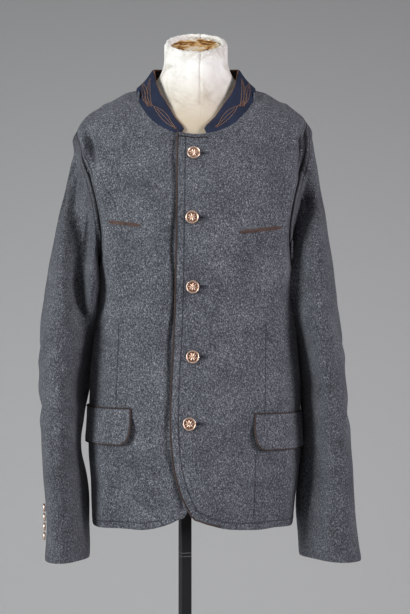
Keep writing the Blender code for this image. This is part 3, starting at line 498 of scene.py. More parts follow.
@dataclass(frozen=True)
class FeltFinish(Finish):
    """Dyed wool felt or cotton lining, pressed smooth.

    The eye gets one flat, deep colour with a fine tooth and slightly paler wear.
    """

    dark: str = "1d2030"
    pale: str = "3a3d50"
    tooth_width: float = 1.111

    def surface(self, tree: Tree, spot: Socket) -> Look:
        """Mixes a fine tooth with slow wear.

        Args:
            tree: the material's node tree.
            spot: object coordinates.

        Returns:
            The colour socket and the height socket.
        """
        tooth = add_node(tree, NOISE, grain(spot, self.tooth_width, 3.0, 0.7, 0.5)).outputs["Fac"]
        worn = add_node(tree, NOISE, grain(spot, 22.2, 3.0, 0.6)).outputs["Fac"]
        mixed = sums(tree, (tooth, 0.6), (worn, 0.4))
        tones = ((0.36, self.dark), (0.66, self.pale))
        return add_node(tree, RAMP, {"Fac": mixed}, tones).outputs["Color"], tooth


@dataclass(frozen=True)
class CordFinish(Finish):
    """Wool piping, twisted from two yarns.

    The eye gets slanted bands of a paler and a darker brown, blurred by loose fibres.
    """

    dark: str = "191413"
    pale: str = "4c3e39"
    twist_width: float = 1.496

    def surface(self, tree: Tree, spot: Socket) -> Look:
        """Lays slanted bands along the cord.

        Args:
            tree: the material's node tree.
            spot: object coordinates.

        Returns:
            The colour socket and the height socket.
        """
        wave = add_node(tree, "ShaderNodeTexWave",
                        {"Vector": spot, "Scale": cells(self.twist_width / WAVE_BAND),
                         "Distortion": 1.5, "Detail": 1.0},
                        wave_type="BANDS", bands_direction="DIAGONAL").outputs["Fac"]
        fluff = add_node(tree, NOISE, grain(spot, 0.909, 2.0, 0.6)).outputs["Fac"]
        worn = add_node(tree, NOISE, grain(spot, 16.7, 2.0, 0.6)).outputs["Fac"]
        mixed = sums(tree, (wave, 0.35), (fluff, 0.35), (worn, 0.3))
        relief = sums(tree, (wave, 0.7), (fluff, 0.3))
        tones = ((0.28, self.dark), (0.68, self.pale))
        return add_node(tree, RAMP, {"Fac": mixed}, tones).outputs["Color"], relief


@dataclass(frozen=True)
class SuedeFinish(Finish):
    """Suede: split leather, brushed.

    The eye gets a soft brown with no gloss, blotched where the nap lies over.
    """

    dark: str = "2a1f1d"
    pale: str = "57443d"

    def surface(self, tree: Tree, spot: Socket) -> Look:
        """Mixes the nap with larger blotches.

        Args:
            tree: the material's node tree.
            spot: object coordinates.

        Returns:
            The colour socket and the height socket.
        """
        nap = add_node(tree, NOISE, grain(spot, 0.7143, 3.0, 0.7)).outputs["Fac"]
        blotch = add_node(tree, NOISE, grain(spot, 6.25, 3.0, 0.6, 0.4)).outputs["Fac"]
        mixed = sums(tree, (nap, 0.45), (blotch, 0.55))
        tones = ((0.36, self.dark), (0.64, self.pale))
        return add_node(tree, RAMP, {"Fac": mixed}, tones).outputs["Color"], nap


@dataclass(frozen=True)
class CopperFinish(Finish):
    """Copper, cast in a mould and darkened.

    The eye gets a warm metal that is dark in its hollows and rubbed bright on its ridges.
    """

    hollow: str = "96735f"
    body: str = "ccad98"
    rubbed: str = "e3cfc1"

    def surface(self, tree: Tree, spot: Socket) -> Look:
        """Darkens by the relief's stored height and mottles the patina.

        Args:
            tree: the material's node tree.
            spot: object coordinates.

        Returns:
            The colour socket and the height socket.
        """
        relief = add_node(tree, "ShaderNodeAttribute", attribute_name="relief").outputs["Fac"]
        patina = add_node(tree, NOISE, grain(spot, 1.429, 3.0, 0.6)).outputs["Fac"]
        mixed = sums(tree, (relief, 0.8), (patina, 0.3))
        tones = ((0.12, self.hollow), (0.5, self.body), (0.95, self.rubbed))
        return add_node(tree, RAMP, {"Fac": mixed}, tones).outputs["Color"], patina


@dataclass(frozen=True)
class JerseyFinish(Finish):
    """Knitted cotton jersey, stretched over padding.

    The eye gets an off-white with faint upright wales, darkened to beige low on the neck by painted
    shade under the collar, and a thin seam darkened with painted shade.
    """

    shade: str = "a49c8f"
    body: str = "d1cec8"
    clean: str = "dddbd6"
    neck_shade: str = "a8987f"
    white_above: float = 1.445
    neck_shade_below: float = 1.36

    def surface(self, tree: Tree, spot: Socket) -> Look:
        """Mixes fine upright wales with slow stains.

        Args:
            tree: the material's node tree.
            spot: object coordinates.

        Returns:
            The colour socket and the height socket.
        """
        drawn = add_node(tree, "ShaderNodeMapping",
                         {"Vector": spot, "Scale": (1.0, 1.0, 0.35)}).outputs[0]
        wales = add_node(tree, NOISE, grain(drawn, 0.833, 2.0, 0.6)).outputs["Fac"]
        stain = add_node(tree, NOISE, grain(spot, 38.5, 3.0, 0.65, 0.6)).outputs["Fac"]
        mixed = sums(tree, (wales, 0.25), (stain, 0.75))
        tones = ((0.3, self.shade), (0.5, self.body), (0.68, self.clean))
        knit = add_node(tree, RAMP, {"Fac": mixed}, tones).outputs["Color"]
        # Painted shade: low on the neck, under the collar, the knit's colour is mixed toward a
        # darker beige.
        height = add_node(tree, "ShaderNodeSeparateXYZ", {0: spot}).outputs["Z"]
        low = add_node(tree, "ShaderNodeMapRange",
                       {"Value": height, "From Min": self.white_above, "From Max": self.neck_shade_below,
                        "To Min": 0.0, "To Max": 0.85}).outputs[0]
        worn = add_node(tree, MIX, {0: low, 6: knit, 7: srgb(self.neck_shade)},
                        data_type="RGBA").outputs[2]
        # Painted shade: along the seam the colour is mixed toward the darkest knit tone, while the
        # relief presses the seam in.
        seam = groove(tree, "seam_gap", 0.0, 0.0011)
        faint = sums(tree, (seam, 0.55))
        colour = add_node(tree, MIX, {0: faint, 6: worn, 7: srgb(self.shade)},
                          data_type="RGBA").outputs[2]
        return colour, sums(tree, (wales, 1.0), (seam, -0.8))


@dataclass(frozen=True)
class PlasterFinish(Finish):
    """Plaster and glue, poured and long since flaked.

    The eye gets crumbling flakes of cream over amber, ochre and brown.
    """

    dark: str = "3c2414"
    ochre: str = "8a5a24"
    amber: str = "c79a5c"
    cream: str = "d9cdb8"

    def surface(self, tree: Tree, spot: Socket) -> Look:
        """Breaks the colour into flakes and pits.

        Args:
            tree: the material's node tree.
            spot: object coordinates.

        Returns:
            The colour socket and the height socket.
        """
        flakes = add_node(tree, NOISE, grain(spot, 23.8, 4.0, 0.62, 0.9)).outputs["Fac"]
        pits = add_node(tree, NOISE, grain(spot, 3.03, 3.0, 0.7)).outputs["Fac"]
        mixed = sums(tree, (flakes, 0.8), (pits, 0.2))
        tones = ((0.37, self.dark), (0.44, self.ochre), (0.5, self.amber), (0.56, self.cream),
                 (0.7, self.cream))
        return add_node(tree, RAMP, {"Fac": mixed}, tones).outputs["Color"], mixed


@dataclass(frozen=True)
class PaintFinish(Finish):
    """Black paint, sprayed on steel.

    The eye gets a half-matt black with the faintest orange peel, and two pale scratches.
    """

    body: str = "0b0b0c"
    worn: str = "131315"
    scratch: str = "8b8b8c"
    scratch_heights: tuple[float, ...] = (0.6617, 0.6672)
    scratch_half: float = 0.00045

    def surface(self, tree: Tree, spot: Socket) -> Look:
        """Mottles the paint and draws the scratches at their heights.

        Args:
            tree: the material's node tree.
            spot: object coordinates.

        Returns:
            The colour socket and the height socket.
        """
        orange_peel = add_node(tree, NOISE, grain(spot, 2.0, 3.0, 0.6)).outputs["Fac"]
        tones = ((0.35, self.body), (0.75, self.worn))
        base = add_node(tree, RAMP, {"Fac": orange_peel}, tones).outputs["Color"]
        height = add_node(tree, "ShaderNodeSeparateXYZ", {"Vector": spot}).outputs["Z"]
        broken = add_node(tree, NOISE, grain(spot, 3.85, 2.0, 0.7)).outputs["Fac"]
        marks = None
        for level in self.scratch_heights:
            band = add_node(tree, "ShaderNodeMath", {0: height, 1: level, 2: self.scratch_half},
                            operation="COMPARE").outputs[0]
            mark = add_node(tree, "ShaderNodeMath", {0: band, 1: broken},
                            operation="MULTIPLY").outputs[0]
            marks = mark if marks is None else sums(tree, (mark, 1.0), (marks, 1.0))
        return add_node(tree, MIX, {0: marks, 6: base, 7: srgb(self.scratch)},
                        data_type="RGBA").outputs[2], orange_peel


@dataclass(frozen=True)
class ThreadFinish(Finish):
    """Sewing or embroidery thread, spun from two plies.

    The eye gets one colour, broken by the plies' fine bands.
    """

    dark: str = "2a2b33"
    pale: str = "4c4e58"

    def surface(self, tree: Tree, spot: Socket) -> Look:
        """Adds the ply's fine bands.

        Args:
            tree: the material's node tree.
            spot: object coordinates.

        Returns:
            The colour socket and the height socket.
        """
        ply = add_node(tree, NOISE, grain(spot, 0.6667, 2.0, 0.6, 0.5)).outputs["Fac"]
        tones = ((0.36, self.dark), (0.66, self.pale))
        return add_node(tree, RAMP, {"Fac": ply}, tones).outputs["Color"], ply


class Finishes:
    """All the materials of the object, built once."""

    def __init__(self) -> None:
        """Builds every material."""
        wool = {"sheen": 0.2, "sheen_tint": "b4b6ba", "bump_height": 0.0008, "bump_strength": 0.7}
        self.loden = LodenFinish("loden", **wool).build()
        # The sleeves are cut from the same cloth. Their copy of it is a shade darker than the
        # body's: painted shade for the lesser light that falls on them.
        self.shaded_sleeve_loden = LodenFinish("shaded_sleeve_loden", darkest="151518", dark="27282c",
                                        middle="414348", pale="606267", palest="8b8c8e",
                                        **wool).build()
        self.navy = FeltFinish("navy_felt", dark="111727", pale="222b40", sheen=0.05,
                               sheen_tint="6c7086").build()
        self.lining = FeltFinish("brown_lining", dark="15100e", pale="2c221e",
                                 roughness=0.75).build()
        twist = {"bump_height": 0.0005, "bump_strength": 0.8}
        self.cord = CordFinish("brown_cord", **twist).build()
        self.collar_cord = CordFinish("collar_cord", dark="3a261f", pale="8a6350", **twist).build()
        self.suede = SuedeFinish("brown_suede", sheen=0.2, bump_height=0.0004).build()
        self.copper = CopperFinish("antique_copper", roughness=0.36, metallic=1.0,
                                   bump_height=0.00008, bump_strength=0.4).build()
        self.jersey = JerseyFinish("white_jersey", sheen=0.15, bump_height=0.0002).build()
        self.plaster = PlasterFinish("old_plaster", bump_height=0.002, bump_strength=0.9).build()
        self.paint = PaintFinish("black_paint", roughness=0.42, bump_height=0.00005).build()
        self.thread = ThreadFinish("seam_thread", roughness=0.7).build()
        self.cream_thread = ThreadFinish("cream_thread", dark="5d4436", pale="94745d",
                                         roughness=0.6).build()
        self.rust_thread = ThreadFinish("rust_thread", dark="4a322b", pale="80594a",
                                        roughness=0.6).build()


# ---- cloth --------------------------------------------------------------------------------------
WANDER, WANDER_RATE = 0.003, 41.0      # how far a crease strays from its line, and how often
FREE_UNEVEN, SEWN_UNEVEN = 0.08, 0.28  # how much a crease's depth varies along it
WIDTH_UNEVEN = 0.22                    # and how much its width does


@dataclass(frozen=True)
class Crease:
    """A soft trough or ridge, drawn on one side of the object.

    A free one moves the cloth the way its side faces, and so keeps its outline. The others move
    it along its normal. ends is the share of its length over which each end fades, and lips the
    height of the ridge beside it.
    """

    facing: Facing
    path: tuple[tuple[float, float], ...]
    width: float
    depth: float
    ends: float = 0.3
    lips: float = 0.35
    free: bool = False

    def push(self, spots: np.ndarray, normals: np.ndarray) -> np.ndarray:
        """Works out how far the crease moves the cloth.

        Args:
            spots: the cloth's points, one in a row.
            normals: their normals.

        Returns:
            Metres outwards for each point, below zero in a trough.
        """
        side_x, side_y = self.facing.value
        across = spots[:, 0] if side_x == 0.0 else spots[:, 1]
        drawn = np.stack((across, spots[:, 2]), axis=1)
        drawn[:, 0] += WANDER * np.sin(drawn[:, 1] * WANDER_RATE + self.path[0][0] * 60.0)
        gap, share = path_gaps(self.path, drawn)
        turned = normals[:, 0] * side_x + normals[:, 1] * side_y
        seen = ease(-0.75, -0.1, turned) if self.free else ease(-0.05, 0.45, turned)
        ends = ease(0.0, self.ends, share) * ease(0.0, self.ends, 1.0 - share)
        vary = FREE_UNEVEN if self.free else SEWN_UNEVEN
        uneven = 1.0 + vary * np.sin(share * 9.0 + self.path[0][1] * 31.0)
        width = self.width * (1.0 + WIDTH_UNEVEN * np.sin(share * 6.0 + self.path[0][0] * 90.0))
        trough = np.exp(-(gap / width) ** 2)
        lip = np.exp(-((gap - 1.9 * width) / (0.85 * width)) ** 2)
        return self.depth * seen * ends * uneven * (trough - self.lips * lip)


def ease(low: float, high: float, values: np.ndarray) -> np.ndarray:
    """Eases an array from 0 at low to 1 at high.

    Args:
        low: where the result starts to rise.
        high: where it reaches 1.
        values: the places asked for.

    Returns:
        Numbers from 0 to 1.
    """
    t = np.clip((values - low) / (high - low), 0.0, 1.0)
    return t * t * (3.0 - 2.0 * t)


def path_gaps(path: Sequence[tuple[float, float]],
              drawn: np.ndarray) -> tuple[np.ndarray, np.ndarray]:
    """Finds how near flat points come to a polyline.

    Args:
        path: the polyline's corners.
        drawn: flat points, one in a row.

    Returns:
        Their distances, and the share of the polyline's length passed there.
    """
    lengths = [math.dist(a, b) for a, b in zip(path, path[1:])]
    whole, passed = sum(lengths), 0.0
    best = np.full(len(drawn), 1e9)
    share = np.zeros(len(drawn))
    for a, b, length in zip(path, path[1:], lengths):
        start, way = np.array(a), np.array(b) - np.array(a)
        t = np.clip(((drawn - start) @ way) / (length * length), 0.0, 1.0)
        gap = np.linalg.norm(drawn - start - t[:, None] * way, axis=1)
        nearer = gap < best
        best = np.where(nearer, gap, best)
        share = np.where(nearer, (passed + t * length) / whole, share)
        passed += length
    return best, share


def undulation(spots: np.ndarray) -> np.ndarray:
    """Gives the slow unevenness of pressed wool.

    Args:
        spots: the cloth's points, one in a row.

    Returns:
        Metres outwards for each point.
    """
    x, y, z = spots[:, 0], spots[:, 1], spots[:, 2]
    slow = np.sin(x * 47.0 + 1.7 * np.sin(z * 13.0)) * np.sin(z * 23.0 + 1.1 * np.sin(x * 19.0))
    mid = (np.sin(x * 113.0 + z * 37.0 + 2.0 * np.sin(z * 29.0))
           * np.sin(z * 71.0 - x * 31.0 + y * 40.0))
    return 0.0007 * slow + 0.00035 * mid


@dataclass(frozen=True)
class Seam:
    """A sewn line that doesn't cut a piece, such as a dart, drawn from the front or behind."""

    path: tuple[tuple[float, float], ...]
    reach: float = 0.012
    behind: bool = False


@dataclass
class LodenPiece:
    """One cut piece of loden, with its creases, edges and the size it was cut to."""

    node: str
    material: Material
    axis: tuple[float, float]
    flat: tuple[float, float]
    area: float
    creases: tuple[Crease, ...] = ()
    seams: tuple[Seam, ...] = ()
    levels: int = 3
    free_edge: Callable[[Vector], bool] | None = None
    edge_sink: float = 0.0008    # how far a cut edge turns down
    puff: float = 0.0024         # how far the cloth swells beside the armhole's seam
    puff_at: float = 0.014
    puff_width: float = 0.007
    seam_sink: float = 0.0008    # how far the armhole's seam draws in
    seam_width: float = 0.005
    neck_sink: float = 0.0034    # how far the cloth goes down under the collar
    piece: bpy.types.Object | None = None
    sewn: list = field(default_factory=list)

    def lay(self) -> None:
        """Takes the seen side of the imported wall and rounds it."""
        skin = skin_of(self.node, from_axis(*self.axis))
        self.piece = new_piece(self.node + "_cloth", skin, self.material)
        subdivide(self.piece, self.levels)

    def finish(self, armholes: KDTree) -> None:
        """Shapes the laid skin, marks its sewn lines and gives it its thickness.

        Args:
            armholes: points along the body's armhole edges.
        """
        mesh = self.piece.data
        arm_gaps = np.array([armholes.find(vertex.co)[2] for vertex in mesh.vertices])
        self.shape(arm_gaps)
        store(mesh, "arm_gap", arm_gaps)
        store(mesh, "edge_gap", self.edge_gaps())
        store(mesh, "seam_gap", self.seam_gaps())
        if self.free_edge:
            self.sewn = level_line(mesh, "edge_gap", STITCH_LINE)
        wall = self.piece.modifiers.new("wall", "SOLIDIFY")
        wall.thickness, wall.offset = LODEN_THICKNESS, -1.0
        wall.use_even_offset = False
        apply_modifiers(self.piece)
        self.piece.data.shade_smooth()
        self.piece.data.set_sharp_from_angle(angle=SHARP_TURN)

    def shape(self, arm_gaps: np.ndarray) -> None:
        """Presses the creases in, puffs the armhole and turns the edges over.

        Args:
            arm_gaps: how far each point is from the armhole seam.
        """
        mesh = self.piece.data
        spots, normals = read_points(mesh), read_points(mesh, "normal")
        push = undulation(spots)
        moved, unsewn = np.zeros_like(spots), ease(0.001, 0.014, arm_gaps)
        for crease in self.creases:
            step = crease.push(spots, normals)
            if crease.free:
                moved += np.array((*crease.facing.value, 0.0)) * (step * unsewn)[:, None]
            else:
                push += step
        high = ease(1.14, 1.22, spots[:, 2])
        push += self.puff * high * np.exp(-((arm_gaps - self.puff_at) / self.puff_width) ** 2)
        push -= self.seam_sink * np.exp(-(arm_gaps / self.seam_width) ** 2)
        rim = np.zeros(len(spots), bool)
        rim[list({v for line in open_edges(mesh) for v in line})] = True
        push = np.where(rim, push - self.edge_sink, push)
        neck = ease(1.385, 1.40, spots[:, 2])
        neck *= 1.0 - ease(0.100, 0.114, np.abs(spots[:, 0] - MIDDLE_X))
        push -= self.neck_sink * neck
        mesh.vertices.foreach_set("co", (spots + moved + normals * push[:, None]).ravel())
        mesh.update()

    def edge_gaps(self) -> list[float]:
        """Measures how far each point is from the free edges.

        Returns:
            Metres, one for each point, or 1 where there is no free edge.
        """
        mesh = self.piece.data
        spots = [vertex.co.copy() for vertex in mesh.vertices]
        if not self.free_edge:
            return [1.0] * len(spots)
        near = scatter([(spots[a], spots[b]) for a, b in open_edges(mesh)
                        if self.free_edge(spots[a]) and self.free_edge(spots[b])])
        return [near.find(spot)[2] for spot in spots]

    def seam_gaps(self) -> np.ndarray:
        """Measures how far beside a dart each point lies, below zero on its left.

        Returns:
            Metres, one for each point, or 1 where there is no dart.
        """
        spots = read_points(self.piece.data)
        offset = np.full(len(spots), 1.0)
        for seam in self.seams:
            xs = np.interp(spots[:, 2], [p[1] for p in seam.path], [p[0] for p in seam.path])
            near = ((spots[:, 2] > seam.path[0][1]) & (spots[:, 2] < seam.path[-1][1])
                    & (np.abs(spots[:, 0] - xs) < seam.reach)
                    & ((spots[:, 1] > 0.0) == seam.behind))
            offset = np.where(near, spots[:, 0] - xs, offset)
        return offset

    def dress(self) -> None:
        """Makes the shell part of the object."""
        settle(self.piece, "loden", self.node)


def scatter(lines: Sequence[tuple[Vector, Vector]]) -> KDTree:
    """Spreads points along lines so that distances to them can be asked for.

    Args:
        lines: the lines' ends.

    Returns:
        A tree of the points.
    """
    dots = [a.lerp(b, k / 6.0) for a, b in lines for k in range(6)]
    tree = KDTree(len(dots))
    for number, dot in enumerate(dots):
        tree.insert(dot, number)
    tree.balance()
    return tree


def open_edges(mesh: bpy.types.Mesh) -> list[tuple[int, int]]:
    """Lists the edges that only one face uses.

    Args:
        mesh: the mesh to look at.

    Returns:
        Pairs of vertex numbers.
    """
    uses: dict[tuple[int, int], int] = {}
    for polygon in mesh.polygons:
        for key in polygon.edge_keys:
            uses[key] = uses.get(key, 0) + 1
    return [key for key, count in uses.items() if count == 1]


def store(mesh: bpy.types.Mesh, name: str, values: Iterable[float]) -> None:
    """Keeps a number on every vertex.

    Args:
        mesh: the mesh.
        name: the attribute's name.
        values: one number for each vertex.
    """
    layer = mesh.attributes.new(name, "FLOAT", "POINT")
    layer.data.foreach_set("value", np.asarray(values, dtype=np.float32))


def level_line(mesh: bpy.types.Mesh, name: str, level: float,
               reach: float = 0.012) -> list[list[tuple[Vector, Vector]]]:
    """Follows the line on a surface where a stored number has one value.

    Args:
        mesh: the surface.
        name: the attribute's name.
        level: the value to follow.
        reach: how far past the level an edge's far end may be.

    Returns:
        Paths of points with their normals.
    """
    values = np.zeros(len(mesh.vertices), np.float32)
    mesh.attributes[name].data.foreach_get("value", values)
    links: dict[tuple[int, int], list[tuple[int, int]]] = {}
    for polygon in mesh.polygons:
        cut = [key for key in polygon.edge_keys
               if (values[key[0]] - level) * (values[key[1]] - level) < 0.0
               and max(values[key[0]], values[key[1]]) < level + reach]
        if len(cut) == 2:
            links.setdefault(cut[0], []).append(cut[1])
            links.setdefault(cut[1], []).append(cut[0])

    def place(key: tuple[int, int]) -> tuple[Vector, Vector]:
        """Finds the line's point on an edge."""
        a, b = (mesh.vertices[i] for i in key)
        t = (level - values[key[0]]) / (values[key[1]] - values[key[0]])
        return a.co.lerp(b.co, t), a.normal.lerp(b.normal, t).normalized()

    paths, used = [], set()
    starts = sorted(links, key=lambda key: (len(links[key]), key))
    for start in starts:
        if start in used:
            continue
        chain, here = [start], start
        used.add(start)
        while True:
            ahead = [key for key in links[here] if key not in used]
            if not ahead:
                break
            here = ahead[0]
            used.add(here)
            chain.append(here)
        if len(chain) > 3:
            paths.append([place(key) for key in chain])
    return paths


def evenly(path: Sequence[tuple[Vector, Vector]],
           step: float) -> list[tuple[Vector, Vector, Vector]]:
    """Walks a path in equal steps.

    Args:
        path: points with their normals.
        step: the distance between places, in metres.

    Returns:
        Places with the direction of travel and the normal.
    """
    places, left = [], step / 2.0
    for (a, a_up), (b, b_up) in zip(path, path[1:]):
        way = b - a
        length = way.length
        if length < 1e-7:
            continue
        at = left
        while at < length:
            share = at / length
            places.append((a + way * share, way / length, a_up.lerp(b_up, share).normalized()))
            at += step
        left = at - length
    return places


@dataclass(frozen=True)
class Stitch:
    """A stitch that is sewn over and over: its length and its thread's radius, in metres.

    step runs from one stitch to the next, slant is how far each turns off the line, in radians,
    and lift is how high its middle stands over the cloth, in radii.
    """

    length: float
    radius: float
    step: float = 0.0
    slant: float = 0.0
    lift: float = 0.3


EDGE_STITCH = Stitch(0.0031, 0.00034, step=0.0042)
LEAF_STITCH = Stitch(0.0034, 0.00034, step=0.0021, slant=0.22)
KNOT_STITCH = Stitch(0.0032, 0.0006)
HOLE_STITCH = Stitch(0.0027, 0.00036)
HOLE_END_STITCH = Stitch(0.003, 0.00036)
FLAP_TWIST = Stitch(0.0034, 0.0010, step=0.0024, lift=0.2)
NECK_TURN = Stitch(0.0019, 0.0008)
# The lump at each end of the neckline is painted shade of a notch, not a stitch.
NECK_NOTCH_SHADE = Stitch(0.0075, 0.0012, lift=0.0)

# A stitch's rings: the share of its length, of its radius, and its rise in radii.
STITCH_RINGS = ((-0.5, 0.35, -0.9), (-0.3, 0.9, 0.1), (0.0, 1.0, 1.0), (0.3, 0.9, 0.1),
                (0.5, 0.35, -0.9))


class ThreadWork:
    """Threads that lie on cloth, gathered into one piece."""

    def __init__(self) -> None:
        """Starts with no threads."""
        self.mesh = bmesh.new()

    def sew(self, stitch: Stitch, middle: Vector, way: Vector, up: Vector) -> None:
        """Lays one stitch that dives into the cloth at both ends.

        Args:
            stitch: its sizes.
            middle: its middle, on the cloth.
            way: its direction.
            up: the cloth's normal.
        """
        across = up.cross(way).normalized()
        rings = []
        for share, swell, rise in STITCH_RINGS:
            centre = (middle + way * stitch.length * share
                      + up * stitch.radius * (stitch.lift + 0.7 * rise))
            rings.append([self.mesh.verts.new(centre + (across * math.cos(a) + up * math.sin(a))
                                              * stitch.radius * swell)
                          for a in (0.0, math.pi / 2.0, math.pi, -math.pi / 2.0)])
        for low, high in zip(rings, rings[1:]):
            for k in range(4):
                self.mesh.faces.new((low[k], low[k - 1], high[k - 1], high[k]))
        self.mesh.faces.new(rings[0])
        self.mesh.faces.new(rings[-1][::-1])

    def line(self, stitch: Stitch, path: Sequence[tuple[Vector, Vector]],
             turned: float = 1.0) -> None:
        """Sews along a path.

        Args:
            stitch: what is sewn.
            path: points with their normals.
            turned: 1, or -1 to slant the stitches the other way.
        """
        slant = stitch.slant * turned
        for spot, way, up in evenly(path, stitch.step):
            lean = (way * math.cos(slant) + up.cross(way) * math.sin(slant)).normalized()
            self.sew(stitch, spot, lean, up)

    def finish(self, name: str, slot: str, material: Material) -> bpy.types.Object | None:
        """Makes the gathered threads one piece.

        Args:
            name: the piece's name.
            slot: the record's material slot.
            material: its finish.

        Returns:
            The piece, or None where there are no threads.
        """
        if not self.mesh.faces:
            return None
        bmesh.ops.recalc_face_normals(self.mesh, faces=self.mesh.faces)
        piece = new_piece(name, self.mesh, material)
        settle(piece, slot)
        return piece


# ---- metal, form and stand ----------------------------------------------------------------------
BUTTON_BACK = ((0.985, -0.3), (0.9, -0.5), (0.35, -0.55))   # shares of the radius, and depths


@dataclass(frozen=True)
class ReliefButton:
    """A cast shank button: rolled rim, bead ring and a little flower of pointed petals.

    The radius and the height are in metres, and the rim, beads and heart in shares of the radius.
    """

    node: str
    radius: float
    rim: float
    height: float
    petals: int = 8
    beads: int = 28
    rings: int = 26
    sides: int = 112
    turn: float = 0.0
    bead_inset: float = 0.085
    bead_width: float = 0.045
    bead_height: float = 0.55
    heart: float = 0.13

    def relief(self, share: float, turn: float) -> float:
        """Gives the height of the face.

        Args:
            share: place from the middle, 0, to the edge, 1.
            turn: angle round the middle.

        Returns:
            The relief from 0, the field, to 1, the highest ridge.
        """
        rolled = math.exp(-((share - (1.0 - self.rim * 0.5)) / (self.rim * 0.42)) ** 2)
        bead_at = 1.0 - self.rim - self.bead_inset
        bead = (math.exp(-((share - bead_at) / self.bead_width) ** 2)
                * max(0.0, math.cos(turn * self.beads)) ** 0.7 * self.bead_height)
        lobe = abs(math.cos((turn + self.turn) * self.petals / 2.0))
        reach = 0.30 + 0.30 * lobe ** 1.5
        petal = (1.0 - smooth_step(reach - 0.10, reach + 0.02, share)) * (0.30 + 0.5 * lobe ** 2)
        petal *= smooth_step(self.heart, 0.2, share)
        notched = 0.3 * math.cos(turn * 6.0) * smooth_step(0.03, 0.1, share)
        heart = math.exp(-(share / self.heart) ** 4) * (0.7 + notched)
        return max(rolled, bead, petal, heart)

    def build(self, normal: Vector, material: Material) -> None:
        """Builds the button's face, edge and back.

        Args:
            normal: the way its face looks.
            material: its finish.
        """
        low, high = (Vector(corner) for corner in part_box(self.node))
        middle = (low + high) / 2.0
        side = Vector((0.0, 0.0, 1.0)).cross(normal).normalized()
        up = normal.cross(side)
        mesh = bmesh.new()
        layer = mesh.verts.layers.float.new("relief")
        turns = [2.0 * math.pi * k / self.sides for k in range(self.sides)]

        def corner(share: float, turn: float, depth: float, relief: float) -> bmesh.types.BMVert:
            """Adds a corner at a place on the button, with the relief its colour follows."""
            vertex = mesh.verts.new(middle + (side * math.cos(turn) + up * math.sin(turn))
                                    * self.radius * share + normal * self.height * depth)
            vertex[layer] = relief
            return vertex

        centre = corner(0.0, 0.0, 0.18 + 0.32 * self.relief(0.0, 0.0), 0.8)
        loops = []
        for ring in range(1, self.rings + 1):
            share = ring / self.rings
            level = 0.08 + 0.10 * (1.0 - share * share) - 0.25 * smooth_step(0.93, 1.0, share)
            reliefs = [self.relief(share, turn) for turn in turns]
            loops.append([corner(share, turn, level + 0.34 * relief, relief)
                          for turn, relief in zip(turns, reliefs)])
        for share, depth in BUTTON_BACK:
            loops.append([corner(share, turn, depth, 0.25) for turn in turns])
        for k in range(self.sides):
            mesh.faces.new((centre, loops[0][k], loops[0][(k + 1) % self.sides]))
        for inner, outer in zip(loops, loops[1:]):
            for k in range(self.sides):
                after = (k + 1) % self.sides
                mesh.faces.new((inner[k], outer[k], outer[after], inner[after]))
        mesh.faces.new(loops[-1])
        bmesh.ops.recalc_face_normals(mesh, faces=mesh.faces)
        settle(new_piece(self.node + "_relief", mesh, material), "antique_copper", self.node)


@dataclass
class DressForm:
    """Padded limbless form: jersey cover with its wrinkles, ragged neck rim and old core."""

    finishes: Finishes
    creases: tuple[Crease, ...] = (
        Crease(Facing.FRONT, ((-0.052, 1.405), (-0.022, 1.384), (0.006, 1.378)), 0.0035, -0.0022),
        Crease(Facing.FRONT, ((-0.055, 1.425), (-0.028, 1.404), (-0.004, 1.392)), 0.004, -0.002),
        Crease(Facing.FRONT, ((-0.053, 1.446), (-0.030, 1.428), (-0.012, 1.420)), 0.0035, -0.0016),
        Crease(Facing.FRONT, ((0.046, 1.43), (0.028, 1.408), (0.012, 1.396)), 0.0035, -0.0013),
    )
    seam_half: float = 0.0016
    seam_depth: float = 0.0014
    rim_slope: float = 0.51      # the neck's top slants down to the front
    rim_from: float = 1.475      # where its ragged rim starts, at the neck's axis
    rim_full: float = 1.49
    rim_lump: float = 0.0015
    core_lump: float = 0.0012

    def build(self) -> None:
        """Builds the cover and the core."""
        self.cover()
        self.core()

    def cover(self) -> None:
        """Builds the jersey."""
        piece = new_piece("jersey", whole_mesh("dress_form"), self.finishes.jersey)
        subdivide(piece, 3)
        data = piece.data
        spots, normals = read_points(data), read_points(data, "normal")
        push = np.zeros(len(spots))
        for crease in self.creases:
            push += crease.push(spots, normals)
        ahead = normals[:, 1] < 0.0
        seam = np.exp(-((spots[:, 0] - FORM_SEAM_X) / self.seam_half) ** 2) * ahead
        push -= self.seam_depth * seam * ease(1.36, 1.41, spots[:, 2])
        rim = ease(self.rim_from, self.rim_full, spots[:, 2] - self.rim_slope * spots[:, 1])
        lumps = np.array([lump(Vector(p), 4.76, 2.083, 0.6) if r > 0.0 else 0.0
                          for p, r in zip(spots, rim)])
        push += self.rim_lump * rim * lumps
        data.vertices.foreach_set("co", (spots + normals * push[:, None]).ravel())
        data.update()
        beside = spots[:, 0] - FORM_SEAM_X - self.seam_half * np.sin(spots[:, 2] * 60.0)
        store(data, "seam_gap", np.where(ahead & (spots[:, 1] < 0.02), beside, 1.0))
        settle(piece, "white_jersey", "dress_form")

    def core(self) -> None:
        """Builds the crumbling plaster inside the rim."""
        piece = new_piece("plaster_core", whole_mesh("neck_plug"), self.finishes.plaster)
        subdivide(piece, 3)
        for vertex in piece.data.vertices:
            spot = vertex.co
            vertex.co = spot + vertex.normal * (self.core_lump * lump(spot, 8.33, 3.03, 0.5))
        settle(piece, "old_plaster", "neck_plug")


def lump(spot: Vector, width: float, fine_width: float, share: float) -> float:
    """Gives a rough surface's height.

    Args:
        spot: the place.
        width: a lump's width in millimetres.
        fine_width: a crumb's width.
        share: how high the crumbs are beside the lumps.

    Returns:
        The height, about -1 to 1.
    """
    return noise.noise(spot * cells(width)) + share * noise.noise(spot * cells(fine_width))


